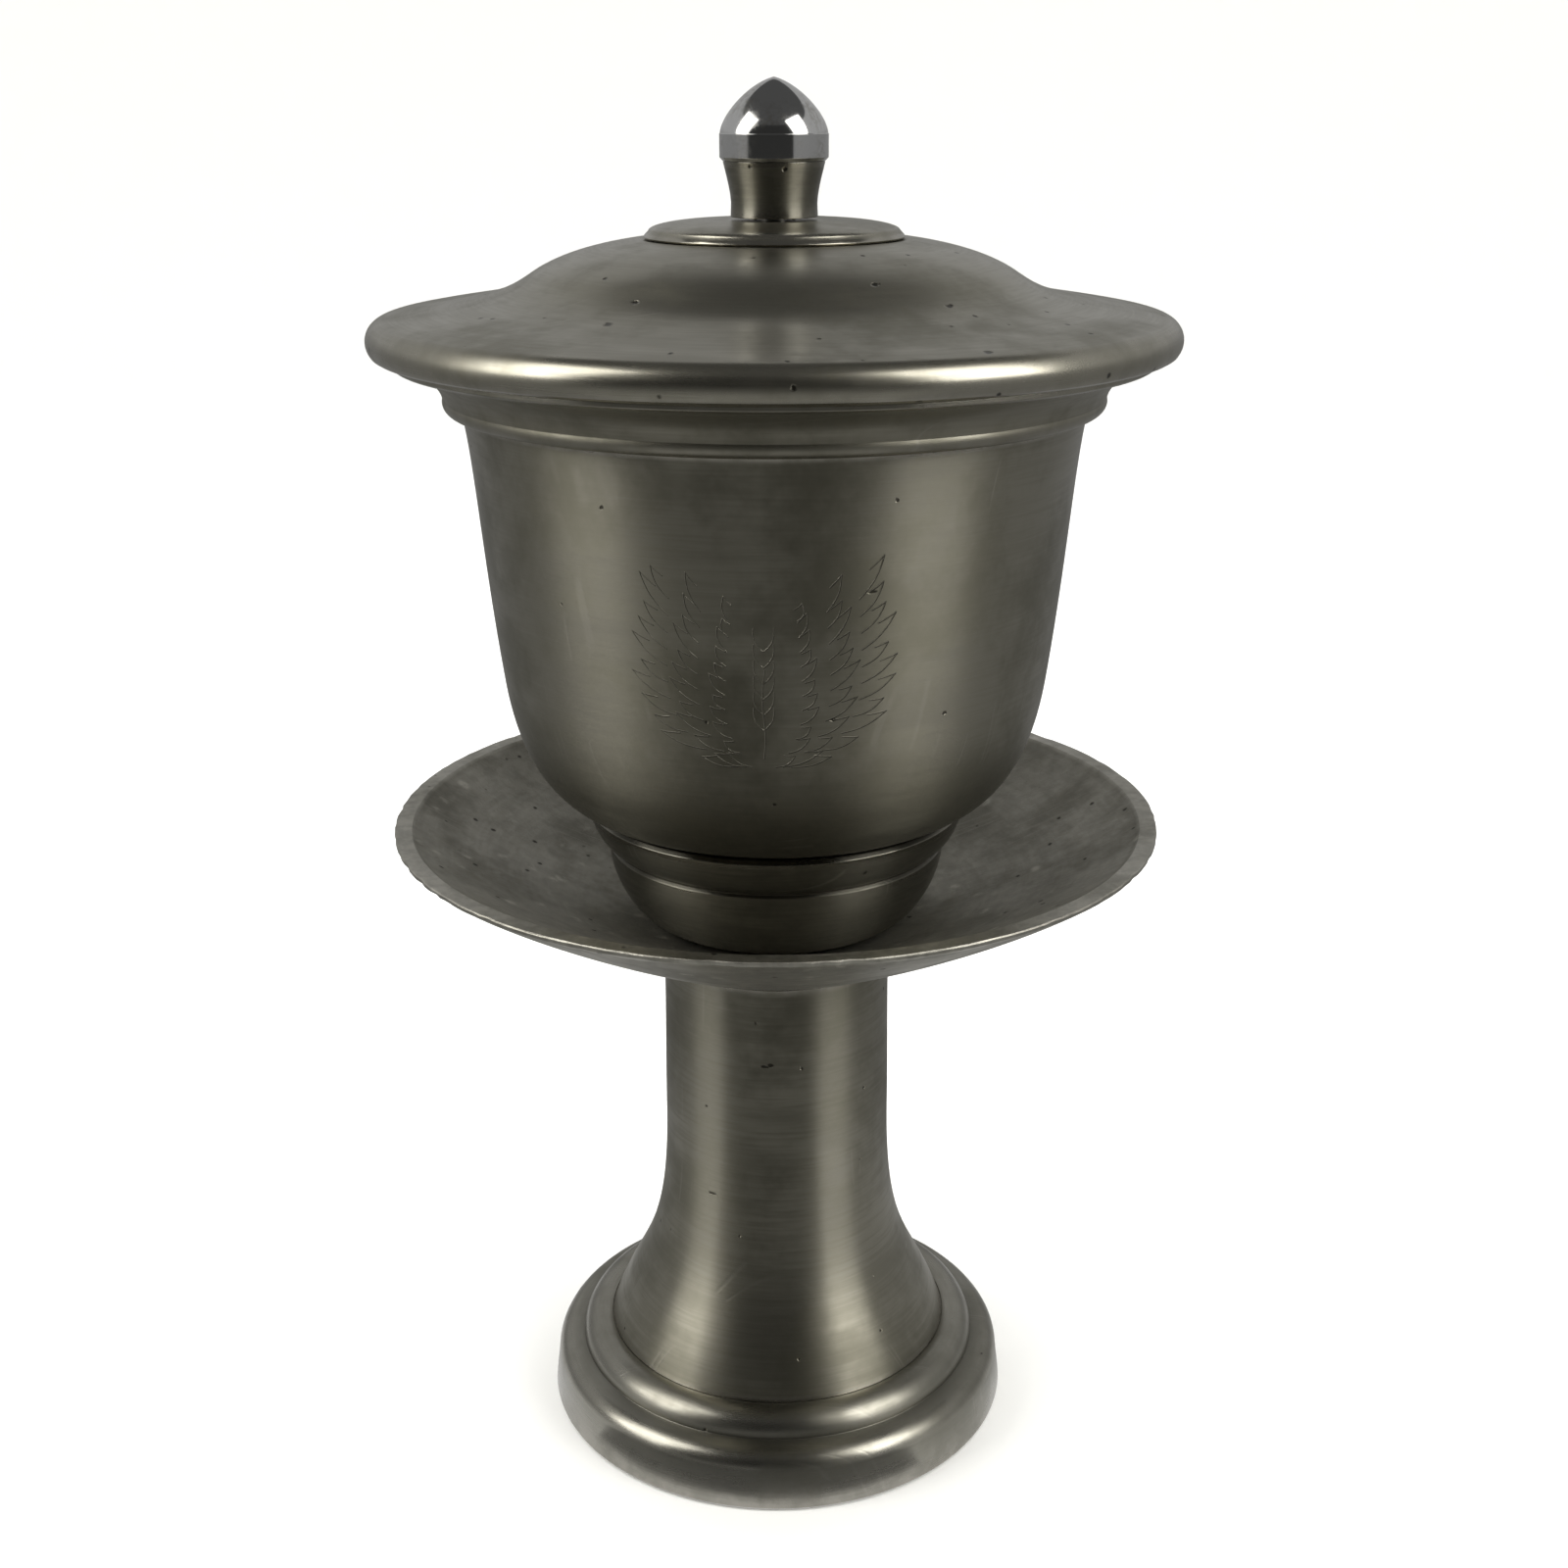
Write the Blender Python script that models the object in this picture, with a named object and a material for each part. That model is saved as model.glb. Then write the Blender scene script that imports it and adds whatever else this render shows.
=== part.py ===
"""Lidded communion chalice: a turned pewter cup with a lid, standing on a saucer and pedestal.

Every part is turned about the vertical axis.  Sections are given as (radius, height) points in
millimetres, with +Z up and the base resting on height 0; MM turns them into metres.
"""

import math

import bmesh
import bpy
from mathutils import Matrix

MM = 0.001
GAP = 0.3

# Facets round each turned part.
LARGE_TURN = 32
MEDIUM_TURN = 20
SMALL_TURN = 12

# Base foot.
BASE_RADIUS = 29.07
BASE_RIM_INNER = 26.4
BASE_EDGE = 0.45
SHOULDER_CENTRE = (26.3, 4.86)
SHOULDER_ROUND = 2.23
BEAD_CENTRE = (22.5, 7.2)
BEAD_ROUND = 2.75
BASE_SEAT_HEIGHT = 9.5
BASE_SEAT_OUTER = 22.0
BASE_BORE = 18.9

# Pedestal stem.
FLARE_RADIUS = 21.4
FLARE_HEIGHT = 10.3
STEM_WAIST_RADIUS = 13.87
STEM_WAIST_HEIGHT = 39.4
STEM_TOP_RADIUS = 13.72
STEM_TOP = 61.1
STEM_SPIGOT_BOTTOM = 6.9
STEM_SPIGOT_BORE = 17.0
STEM_BORE = 11.3
STEM_END_WALL = 57.6
STEM_RECESS_RADIUS = 8.4
STEM_RECESS_DEPTH = 1.5

# Saucer.
SAUCER_RADIUS = 44.94
SAUCER_RIM_HEIGHT = 78.63
SAUCER_LAND_INNER = 42.94
SAUCER_WELL_RADIUS = 15.2
SAUCER_WELL_HEIGHT = 65.7
SAUCER_BOSS_RADIUS = 13.75
SAUCER_BOSS_HEIGHT = STEM_TOP + GAP

# Cup.
FOOT_BOTTOM = SAUCER_WELL_HEIGHT + GAP
FOOT_BOTTOM_RADIUS = 14.08
FOOT_BORE = 11.6
FOOT_GROOVE_HEIGHT = 75.3
FOOT_GROOVE_RADIUS = 19.7
FOOT_TOP_RADIUS = 22.37
BOWL_BOTTOM = 80.3
BOWL_BOTTOM_RADIUS = 20.13
BOWL_WAIST_RADIUS = 31.33
BOWL_WAIST_HEIGHT = 96.12
BOWL_TOP_RADIUS = 34.7
BOWL_TOP = 126.6
BOWL_FLOOR = 82.3
BOWL_MOUTH_RADIUS = 32.3
COLLAR_RADIUS = 33.6
COLLAR_TOP = 129.5
LIP_BEAD_CENTRE = (35.6, 127.78)
LIP_BEAD_ROUND = 1.1
LIP_RADIUS = 42.1
LIP_TOP = 132.75

# Lid.
BRIM_RADIUS = 44.46
BRIM_ROUND = 2.23
BRIM_ROUND_HEIGHT = 134.45
LID_LAND = LIP_TOP + GAP
DOME_FOOT = (33.0, 138.3)
DOME_SHOULDER = (26.6, 140.98)
DOME_TOP_RADIUS = 14.75
DOME_TOP = 144.58
LID_SEAT = 144.3
LID_CEILING = 142.6
CROWN_RADIUS = 13.65
CROWN_TOP = 146.47
LOCATING_RING_OUTER = 31.9
LOCATING_RING_INNER = 30.2
LOCATING_RING_BOTTOM = 128.6

# Finial.
NECK_RADIUS = 4.68
NECK_TOP = 152.3
HEAD_RADIUS = 5.88
HEAD_BAND_BOTTOM = 152.95
HEAD_BAND_TOP = 155.4
FINIAL_TIP = 161.1

# Fastenings.
STUD_RADIUS = 2.0
STUD_HOLE = STUD_RADIUS + GAP
STUD_CHAMFER = 0.4
WASHER_THICKNESS = 1.0
WASHER_RADIUS = 5.0
NUT_ACROSS_FLATS = 7.0
NUT_THICKNESS = 3.2
STUD_TAIL = 2.3

# Finishes: base colour, roughness, metallic.
SATIN_PEWTER = ("satin_pewter", (0.33, 0.32, 0.28, 1.0), 0.38, 1.0)
CAST_PEWTER = ("cast_pewter", (0.27, 0.265, 0.24, 1.0), 0.55, 1.0)
POLISHED_METAL = ("polished_metal", (0.62, 0.62, 0.60, 1.0), 0.06, 1.0)
FASTENER_STEEL = ("fastener_steel", (0.45, 0.45, 0.46, 1.0), 0.35, 1.0)


def clear_scene():
    """Remove every object the file opened with."""
    for existing in list(bpy.data.objects):
        bpy.data.objects.remove(existing, do_unlink=True)


def arc(centre, radius, start_deg, end_deg, steps):
    """Points along a circular arc in the section plane, both ends included."""
    points = []
    for step in range(steps + 1):
        angle = math.radians(start_deg + (end_deg - start_deg) * step / steps)
        points.append((centre[0] + radius * math.cos(angle), centre[1] + radius * math.sin(angle)))
    return points


def bezier(start, start_handle, end_handle, end, steps):
    """Points along a cubic curve in the section plane, both ends included."""
    points = []
    for step in range(steps + 1):
        t = step / steps
        s = 1.0 - t
        weights = (s * s * s, 3.0 * s * s * t, 3.0 * s * t * t, t * t * t)
        corners = (start, start_handle, end_handle, end)
        radius = sum(weight * corner[0] for weight, corner in zip(weights, corners))
        height = sum(weight * corner[1] for weight, corner in zip(weights, corners))
        points.append((radius, height))
    return points


def metal(finish):
    """The Principled material of one finish, made once and shared."""
    name, colour, roughness, metallic = finish
    material = bpy.data.materials.get(name)
    if material is None:
        material = bpy.data.materials.new(name)
        material.use_nodes = True
        shader = material.node_tree.nodes["Principled BSDF"]
        shader.inputs["Base Color"].default_value = colour
        shader.inputs["Roughness"].default_value = roughness
        shader.inputs["Metallic"].default_value = metallic
    return material


def add_object(name, solid, finish, seat):
    """Turn a bmesh modelled in millimetres into a named object standing on its seat empty."""
    bmesh.ops.recalc_face_normals(solid, faces=solid.faces)
    bmesh.ops.transform(solid, matrix=Matrix.Scale(MM, 4), verts=solid.verts)
    mesh = bpy.data.meshes.new(name)
    solid.to_mesh(mesh)
    solid.free()
    mesh.transform(Matrix.Translation(-seat.location))
    mesh.shade_smooth()
    mesh.set_sharp_from_angle(angle=math.radians(30.0))
    mesh.materials.append(metal(finish))
    part = bpy.data.objects.new(name, mesh)
    bpy.context.scene.collection.objects.link(part)
    part.parent = seat
    return part


def seat_empty(name, height):
    """An empty on the turning axis; the parts of one lift-off group hang on it."""
    empty = bpy.data.objects.new(name, None)
    empty.location = (0.0, 0.0, height * MM)
    bpy.context.scene.collection.objects.link(empty)
    return empty


def turn(name, section, steps, finish, seat):
    """Turn a section once round the axis.  A section that starts on the axis also ends on it."""
    solid = bmesh.new()
    corners = [solid.verts.new((radius, 0.0, height)) for radius, height in section]
    edges = [solid.edges.new(pair) for pair in zip(corners, corners[1:])]
    if section[0][0] > 0.0:
        edges.append(solid.edges.new((corners[-1], corners[0])))
    bmesh.ops.spin(
        solid, geom=corners + edges, cent=(0.0, 0.0, 0.0), axis=(0.0, 0.0, 1.0),
        angle=math.tau, steps=steps, use_merge=True, use_duplicate=False)
    bmesh.ops.remove_doubles(solid, verts=solid.verts, dist=0.001)
    return add_object(name, solid, finish, seat)


def hex_nut(name, bottom, finish, seat):
    """A hexagonal nut with a round bore, bridged from a hexagon of wall points to a circle."""
    solid = bmesh.new()
    corner_radius = NUT_ACROSS_FLATS / math.sqrt(3.0)
    outer = bmesh.ops.create_circle(solid, segments=6, radius=corner_radius)["verts"]
    outer_edges = list({edge for vert in outer for edge in vert.link_edges})
    bmesh.ops.subdivide_edges(solid, edges=outer_edges, cuts=1)
    hexagon = list(solid.edges)
    bore = bmesh.ops.create_circle(solid, segments=SMALL_TURN, radius=STUD_HOLE)["verts"]
    circle = list({edge for vert in bore for edge in vert.link_edges})
    face_ring = bmesh.ops.bridge_loops(solid, edges=hexagon + circle)["faces"]
    thick = bmesh.ops.extrude_face_region(solid, geom=face_ring, use_keep_orig=True)
    raised = [item for item in thick["geom"] if isinstance(item, bmesh.types.BMVert)]
    bmesh.ops.translate(solid, verts=raised, vec=(0.0, 0.0, NUT_THICKNESS))
    bmesh.ops.translate(solid, verts=solid.verts, vec=(0.0, 0.0, bottom))
    return add_object(name, solid, finish, seat)


def washer(name, bottom, finish, seat):
    """A flat washer round a stud."""
    top = bottom + WASHER_THICKNESS
    section = [(STUD_HOLE, bottom), (WASHER_RADIUS, bottom), (WASHER_RADIUS, top), (STUD_HOLE, top)]
    return turn(name, section, SMALL_TURN, finish, seat)


def stud(name, bottom, top, finish, seat):
    """A threaded stud as its plain outer cylinder with chamfered ends."""
    tip_radius = STUD_RADIUS - STUD_CHAMFER
    section = [
        (0.0, bottom),
        (tip_radius, bottom),
        (STUD_RADIUS, bottom + STUD_CHAMFER),
        (STUD_RADIUS, top - STUD_CHAMFER),
        (tip_radius, top),
        (0.0, top),
    ]
    return turn(name, section, SMALL_TURN, finish, seat)


def build_base_foot(seat):
    """Cast ring with a rounded shoulder and a bead, hollow underneath."""
    section = [(BASE_RIM_INNER, 0.0), (BASE_RADIUS - BASE_EDGE, 0.0), (BASE_RADIUS, BASE_EDGE)]
    section += arc(SHOULDER_CENTRE, SHOULDER_ROUND, 0.0, 80.0, 3)
    section += [(25.35, 7.25)]
    section += arc(BEAD_CENTRE, BEAD_ROUND, 5.0, 95.0, 4)
    section += [
        (BASE_SEAT_OUTER, BASE_SEAT_HEIGHT),
        (BASE_BORE, BASE_SEAT_HEIGHT),
        (BASE_BORE, 6.5),
        (23.6, 5.6),
        (25.6, 4.4),
        (BASE_RIM_INNER, 2.6),
    ]
    return turn("base_foot", section, LARGE_TURN, SATIN_PEWTER, seat)


def build_pedestal_stem(seat):
    """Hollow waisted stem, flared to the base, with a spigot below and an end wall above."""
    flare_face = BASE_SEAT_HEIGHT + GAP
    spigot_radius = BASE_BORE - GAP
    waist = (STEM_WAIST_RADIUS, STEM_WAIST_HEIGHT)
    section = [
        (STEM_SPIGOT_BORE, STEM_SPIGOT_BOTTOM),
        (spigot_radius - GAP, STEM_SPIGOT_BOTTOM),
        (spigot_radius, STEM_SPIGOT_BOTTOM + GAP),
        (spigot_radius, flare_face),
        (FLARE_RADIUS - 0.2, flare_face),
    ]
    section += bezier((FLARE_RADIUS, FLARE_HEIGHT), (18.14, 19.21), (STEM_WAIST_RADIUS, 19.38), waist, 7)
    section += bezier(waist, (STEM_WAIST_RADIUS, 47.4), (13.65, 53.1), (STEM_TOP_RADIUS, 60.9), 2)[1:]
    section += [
        (STEM_TOP_RADIUS - 0.2, STEM_TOP),
        (STEM_RECESS_RADIUS, STEM_TOP),
        (STEM_RECESS_RADIUS, STEM_TOP - STEM_RECESS_DEPTH),
        (STUD_HOLE, STEM_TOP - STEM_RECESS_DEPTH),
        (STUD_HOLE, STEM_END_WALL),
        (STEM_BORE - 0.8, STEM_END_WALL),
        (STEM_BORE, STEM_END_WALL - 0.8),
    ]
    section += bezier((STEM_BORE, 38.0), (STEM_BORE, 24.0), (15.4, 17.0), (STEM_SPIGOT_BORE, 13.0), 4)
    return turn("pedestal_stem", section, LARGE_TURN, SATIN_PEWTER, seat)


def build_saucer_dish(seat):
    """Shallow cast dish with a narrow flat rim, a flat well and a boss underneath."""
    spigot_radius = STEM_RECESS_RADIUS - GAP
    spigot_bottom = STEM_TOP - STEM_RECESS_DEPTH + GAP
    hole_top = SAUCER_WELL_HEIGHT - 1.7
    section = [
        (0.0, hole_top),
        (STUD_HOLE, hole_top),
        (STUD_HOLE, spigot_bottom),
        (spigot_radius, spigot_bottom),
        (spigot_radius, SAUCER_BOSS_HEIGHT),
    ]
    section += bezier(
        (SAUCER_BOSS_RADIUS, SAUCER_BOSS_HEIGHT), (19.72, 63.53), (37.42, 72.56), (SAUCER_RADIUS, 78.15), 6)
    section += [
        (SAUCER_RADIUS, SAUCER_RIM_HEIGHT - 0.2),
        (SAUCER_RADIUS - 0.2, SAUCER_RIM_HEIGHT),
        (SAUCER_LAND_INNER, SAUCER_RIM_HEIGHT),
    ]
    section += bezier(
        (SAUCER_LAND_INNER - 0.3, SAUCER_RIM_HEIGHT - 0.4), (36.9, 74.4), (21.5, 66.4),
        (SAUCER_WELL_RADIUS, SAUCER_WELL_HEIGHT), 6)
    section += [(0.0, SAUCER_WELL_HEIGHT)]
    return turn("saucer_dish", section, LARGE_TURN, CAST_PEWTER, seat)


def build_saucer_fastening(seat):
    """Stud cast in the saucer's boss, with the washer and nut that draw it down on the stem."""
    washer_bottom = STEM_END_WALL - GAP - WASHER_THICKNESS
    nut_bottom = washer_bottom - GAP - NUT_THICKNESS
    stud("saucer_stud", nut_bottom - STUD_TAIL, SAUCER_WELL_HEIGHT - 2.0, FASTENER_STEEL, seat)
    washer("stem_washer", washer_bottom, FASTENER_STEEL, seat)
    hex_nut("stem_nut", nut_bottom, FASTENER_STEEL, seat)


def build_cup_foot(seat):
    """Hollow foot: a convex lower ring, a turned groove, and a flare up to the bowl."""
    groove = (FOOT_GROOVE_RADIUS, FOOT_GROOVE_HEIGHT)
    section = [(FOOT_BORE, FOOT_BOTTOM)]
    section += bezier((FOOT_BOTTOM_RADIUS, FOOT_BOTTOM), (17.02, 66.07), (20.0, 71.5), (19.95, 75.15), 5)
    section += [(groove[0] - 0.25, groove[1])]
    section += bezier((groove[0], groove[1] + 0.15), (20.9, 76.1), (22.17, 77.84), (FOOT_TOP_RADIUS, 80.1), 4)
    section += [(FOOT_TOP_RADIUS - 0.2, 80.42), (BOWL_BOTTOM_RADIUS, BOWL_BOTTOM - GAP)]
    section += bezier((16.9, BOWL_BOTTOM - GAP), (17.6, 73.5), (17.2, 69.0), (FOOT_BORE, 68.2), 4)
    return turn("cup_foot", section, LARGE_TURN, SATIN_PEWTER, seat)


def build_cup_bowl(seat):
    """Bell-shaped bowl with a thin collar at the mouth that carries the lip moulding."""
    waist = (BOWL_WAIST_RADIUS, BOWL_WAIST_HEIGHT)
    section = [(0.0, BOWL_BOTTOM)]
    section += bezier((BOWL_BOTTOM_RADIUS, BOWL_BOTTOM), (27.45, 81.36), (30.31, 88.41), waist, 6)
    section += bezier(waist, (33.18, 110.12), (33.57, 121.64), (BOWL_TOP_RADIUS, BOWL_TOP), 4)[1:]
    section += [
        (COLLAR_RADIUS, BOWL_TOP),
        (COLLAR_RADIUS, COLLAR_TOP),
        (BOWL_MOUTH_RADIUS, COLLAR_TOP),
    ]
    inner_waist = (29.4, 96.3)
    section += bezier((BOWL_MOUTH_RADIUS, 126.0), (31.9, 121.0), (31.3, 110.0), inner_waist, 3)
    section += bezier(inner_waist, (28.5, 89.6), (26.0, 83.3), (19.5, BOWL_FLOOR), 5)[1:]
    section += [(0.0, BOWL_FLOOR)]
    return turn("cup_bowl", section, LARGE_TURN, SATIN_PEWTER, seat)


def build_cup_lip(seat):
    """Lip moulding slid over the bowl's collar: a bead, a cove and a thin overhanging edge."""
    inner = COLLAR_RADIUS + GAP
    bottom = BOWL_TOP + GAP
    section = [(inner, bottom)]
    section += arc(LIP_BEAD_CENTRE, LIP_BEAD_ROUND, -75.0, 20.0, 3)
    section += bezier((36.7, 128.5), (37.2, 130.4), (39.2, 131.3), (LIP_RADIUS - 0.35, 131.85), 4)
    section += [
        (LIP_RADIUS, 132.1),
        (LIP_RADIUS, LIP_TOP - 0.25),
        (LIP_RADIUS - 0.25, LIP_TOP),
    ]
    section += bezier((38.9, LIP_TOP), (36.2, 132.5), (33.6, 131.9), (BOWL_MOUTH_RADIUS + 0.1, 130.5), 3)
    section += [(BOWL_MOUTH_RADIUS + 0.1, COLLAR_TOP + GAP), (inner, COLLAR_TOP + GAP)]
    return turn("cup_lip", section, LARGE_TURN, SATIN_PEWTER, seat)


def build_lid_shell(seat):
    """Domed lid with a sloping brim, a thick rounded edge and a hollow underside."""
    brim_centre = (BRIM_RADIUS - BRIM_ROUND, BRIM_ROUND_HEIGHT)
    rebate_height = 134.8
    section = [(STUD_HOLE, LID_SEAT), (DOME_TOP_RADIUS - 0.3, LID_SEAT)]
    section += bezier((DOME_TOP_RADIUS, DOME_TOP), (20.4, 143.9), (24.2, 142.6), DOME_SHOULDER, 5)
    section += bezier(DOME_SHOULDER, (28.8, 139.5), (30.3, 138.9), DOME_FOOT, 4)[1:]
    section += arc(brim_centre, BRIM_ROUND, 76.0, -38.0, 6)
    section += [
        (43.6, LID_LAND),
        (LOCATING_RING_OUTER + GAP, LID_LAND),
        (LOCATING_RING_OUTER + GAP, rebate_height),
        (LOCATING_RING_INNER - GAP, rebate_height),
    ]
    section += bezier((29.6, 135.7), (27.0, 138.9), (22.5, 141.7), (14.0, LID_CEILING), 5)
    section += [(STUD_HOLE, LID_CEILING)]
    return turn("lid_shell", section[::-1], LARGE_TURN, SATIN_PEWTER, seat)


def build_lid_crown(seat):
    """Low crowned disc between the dome and the finial."""
    bottom = LID_SEAT + GAP
    section = [(STUD_HOLE, bottom), (14.1, bottom), (14.25, bottom + 0.2)]
    section += bezier((14.05, 145.1), (13.8, 145.2), (13.7, 145.35), (CROWN_RADIUS, 145.5), 2)
    section += bezier((CROWN_RADIUS - 0.35, 145.72), (11.2, 146.3), (8.5, CROWN_TOP), (6.0, CROWN_TOP), 4)
    section += [(STUD_HOLE, CROWN_TOP)]
    return turn("lid_crown", section, LARGE_TURN, SATIN_PEWTER, seat)


def build_locating_ring(seat):
    """Ring under the lid that drops inside the cup's mouth and centres the lid."""
    top = 134.5
    section = [
        (LOCATING_RING_INNER, LOCATING_RING_BOTTOM),
        (LOCATING_RING_OUTER - 0.5, LOCATING_RING_BOTTOM),
        (LOCATING_RING_OUTER, LOCATING_RING_BOTTOM + 0.6),
        (LOCATING_RING_OUTER, top),
        (LOCATING_RING_INNER, top),
    ]
    return turn("lid_locating_ring", section, LARGE_TURN, CAST_PEWTER, seat)


def build_finial(seat):
    """Satin neck and polished acorn head on a stud, held by a washer and nut under the lid."""
    neck_bottom = CROWN_TOP + GAP
    neck = [(STUD_HOLE, neck_bottom), (NECK_RADIUS + 0.05, neck_bottom)]
    neck += bezier((NECK_RADIUS, 148.2), (4.75, 149.6), (5.1, 150.8), (5.55, NECK_TOP), 5)
    neck += [(STUD_HOLE, NECK_TOP)]
    turn("finial_neck", neck, MEDIUM_TURN, SATIN_PEWTER, seat)

    head_bottom = NECK_TOP + GAP
    hole_top = 156.5
    head = [
        (0.0, hole_top),
        (STUD_HOLE, hole_top),
        (STUD_HOLE, head_bottom),
        (HEAD_RADIUS - 0.33, head_bottom),
        (HEAD_RADIUS, HEAD_BAND_BOTTOM),
    ]
    head += bezier((HEAD_RADIUS, HEAD_BAND_TOP), (5.6, 157.4), (2.6, 160.5), (0.0, FINIAL_TIP), 8)
    turn("finial_head", head, MEDIUM_TURN, POLISHED_METAL, seat)

    washer_bottom = LID_CEILING - GAP - WASHER_THICKNESS
    nut_bottom = washer_bottom - GAP - NUT_THICKNESS
    stud("finial_stud", nut_bottom - 0.6, hole_top - GAP, FASTENER_STEEL, seat)
    washer("finial_washer", washer_bottom, FASTENER_STEEL, seat)
    hex_nut("finial_nut", nut_bottom, FASTENER_STEEL, seat)


def main():
    """Build the stand, the cup and the lid, each group on its own seat."""
    clear_scene()
    stand_seat = seat_empty("stand_seat", 0.0)
    cup_seat = seat_empty("cup_seat", FOOT_BOTTOM)
    lid_seat = seat_empty("lid_seat", LID_LAND)

    build_base_foot(stand_seat)
    build_pedestal_stem(stand_seat)
    build_saucer_dish(stand_seat)
    build_saucer_fastening(stand_seat)

    build_cup_foot(cup_seat)
    build_cup_bowl(cup_seat)
    build_cup_lip(cup_seat)

    build_lid_shell(lid_seat)
    build_lid_crown(lid_seat)
    build_locating_ring(lid_seat)
    build_finial(lid_seat)

    bpy.context.view_layer.update()


main()
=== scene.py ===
"""Looks of a lidded communion chalice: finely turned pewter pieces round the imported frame.

Lengths on the pieces are millimetres, and MM turns them into the metres of the frame and the studio.
Outlines are (radius, height) points, turned about the vertical axis on which every piece stands.
"""

import logging
import math
from collections.abc import Iterable
from dataclasses import dataclass, field, replace
from enum import Enum

import bmesh
import bpy
from mathutils import Matrix, Vector, noise


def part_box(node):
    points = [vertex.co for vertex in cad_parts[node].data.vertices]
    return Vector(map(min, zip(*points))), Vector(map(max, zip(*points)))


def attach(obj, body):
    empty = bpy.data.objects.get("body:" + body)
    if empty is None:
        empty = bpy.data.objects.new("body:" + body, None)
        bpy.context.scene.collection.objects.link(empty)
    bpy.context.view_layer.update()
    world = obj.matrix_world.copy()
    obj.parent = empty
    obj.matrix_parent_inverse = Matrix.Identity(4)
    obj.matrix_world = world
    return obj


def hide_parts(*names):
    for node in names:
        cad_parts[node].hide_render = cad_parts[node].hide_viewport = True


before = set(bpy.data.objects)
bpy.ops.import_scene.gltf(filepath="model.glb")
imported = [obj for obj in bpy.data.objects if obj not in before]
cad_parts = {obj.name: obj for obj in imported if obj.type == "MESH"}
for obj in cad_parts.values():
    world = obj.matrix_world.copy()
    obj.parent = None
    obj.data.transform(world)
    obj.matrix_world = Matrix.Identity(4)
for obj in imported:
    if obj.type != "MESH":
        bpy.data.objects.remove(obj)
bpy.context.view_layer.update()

MM = 0.001
GAP = 0.3
SEAM = 0.1
BORE = 2.3
FINE_TURN = 224
MEDIUM_TURN = 144
SMALL_TURN = 72
AIM_HEIGHT = 0.1
STAGE_TURN = 64
NO_LENGTH = 1e-9
SAME_POINT = 1e-6
MERGE_REACH = 1e-5
ON_AXIS = 1e-4
UV_NAME = "turned"
UV_PER_MM = 0.01

Point = tuple[float, float]
Spot = tuple[float, float, float]
Colour = tuple[float, float, float, float]
Node = bpy.types.Node
Socket = bpy.types.NodeSocket

log = logging.getLogger("chalice")


class Body(Enum):
    """The groups of pieces that lift off one another."""

    STAND = "stand"
    CUP = "cup"
    LID = "lid"


class Slot(Enum):
    """The record's material slots."""

    SATIN = "satin_pewter"
    CAST = "cast_pewter"
    POLISHED = "polished_metal"
    STEEL = "fastener_steel"


@dataclass(frozen=True)
class Span:
    """Where a turned node of the frame stands, in millimetres."""

    bottom: float
    top: float
    radius: float

    @classmethod
    def of(cls, node: str) -> "Span":
        """Read the span of a node from its box.

        Args:
            node: The node's name in the frame.

        Returns:
            Its lowest and highest level and its greatest radius.
        """
        low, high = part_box(node)
        return cls(low.z / MM, high.z / MM, high.x / MM)


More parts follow.
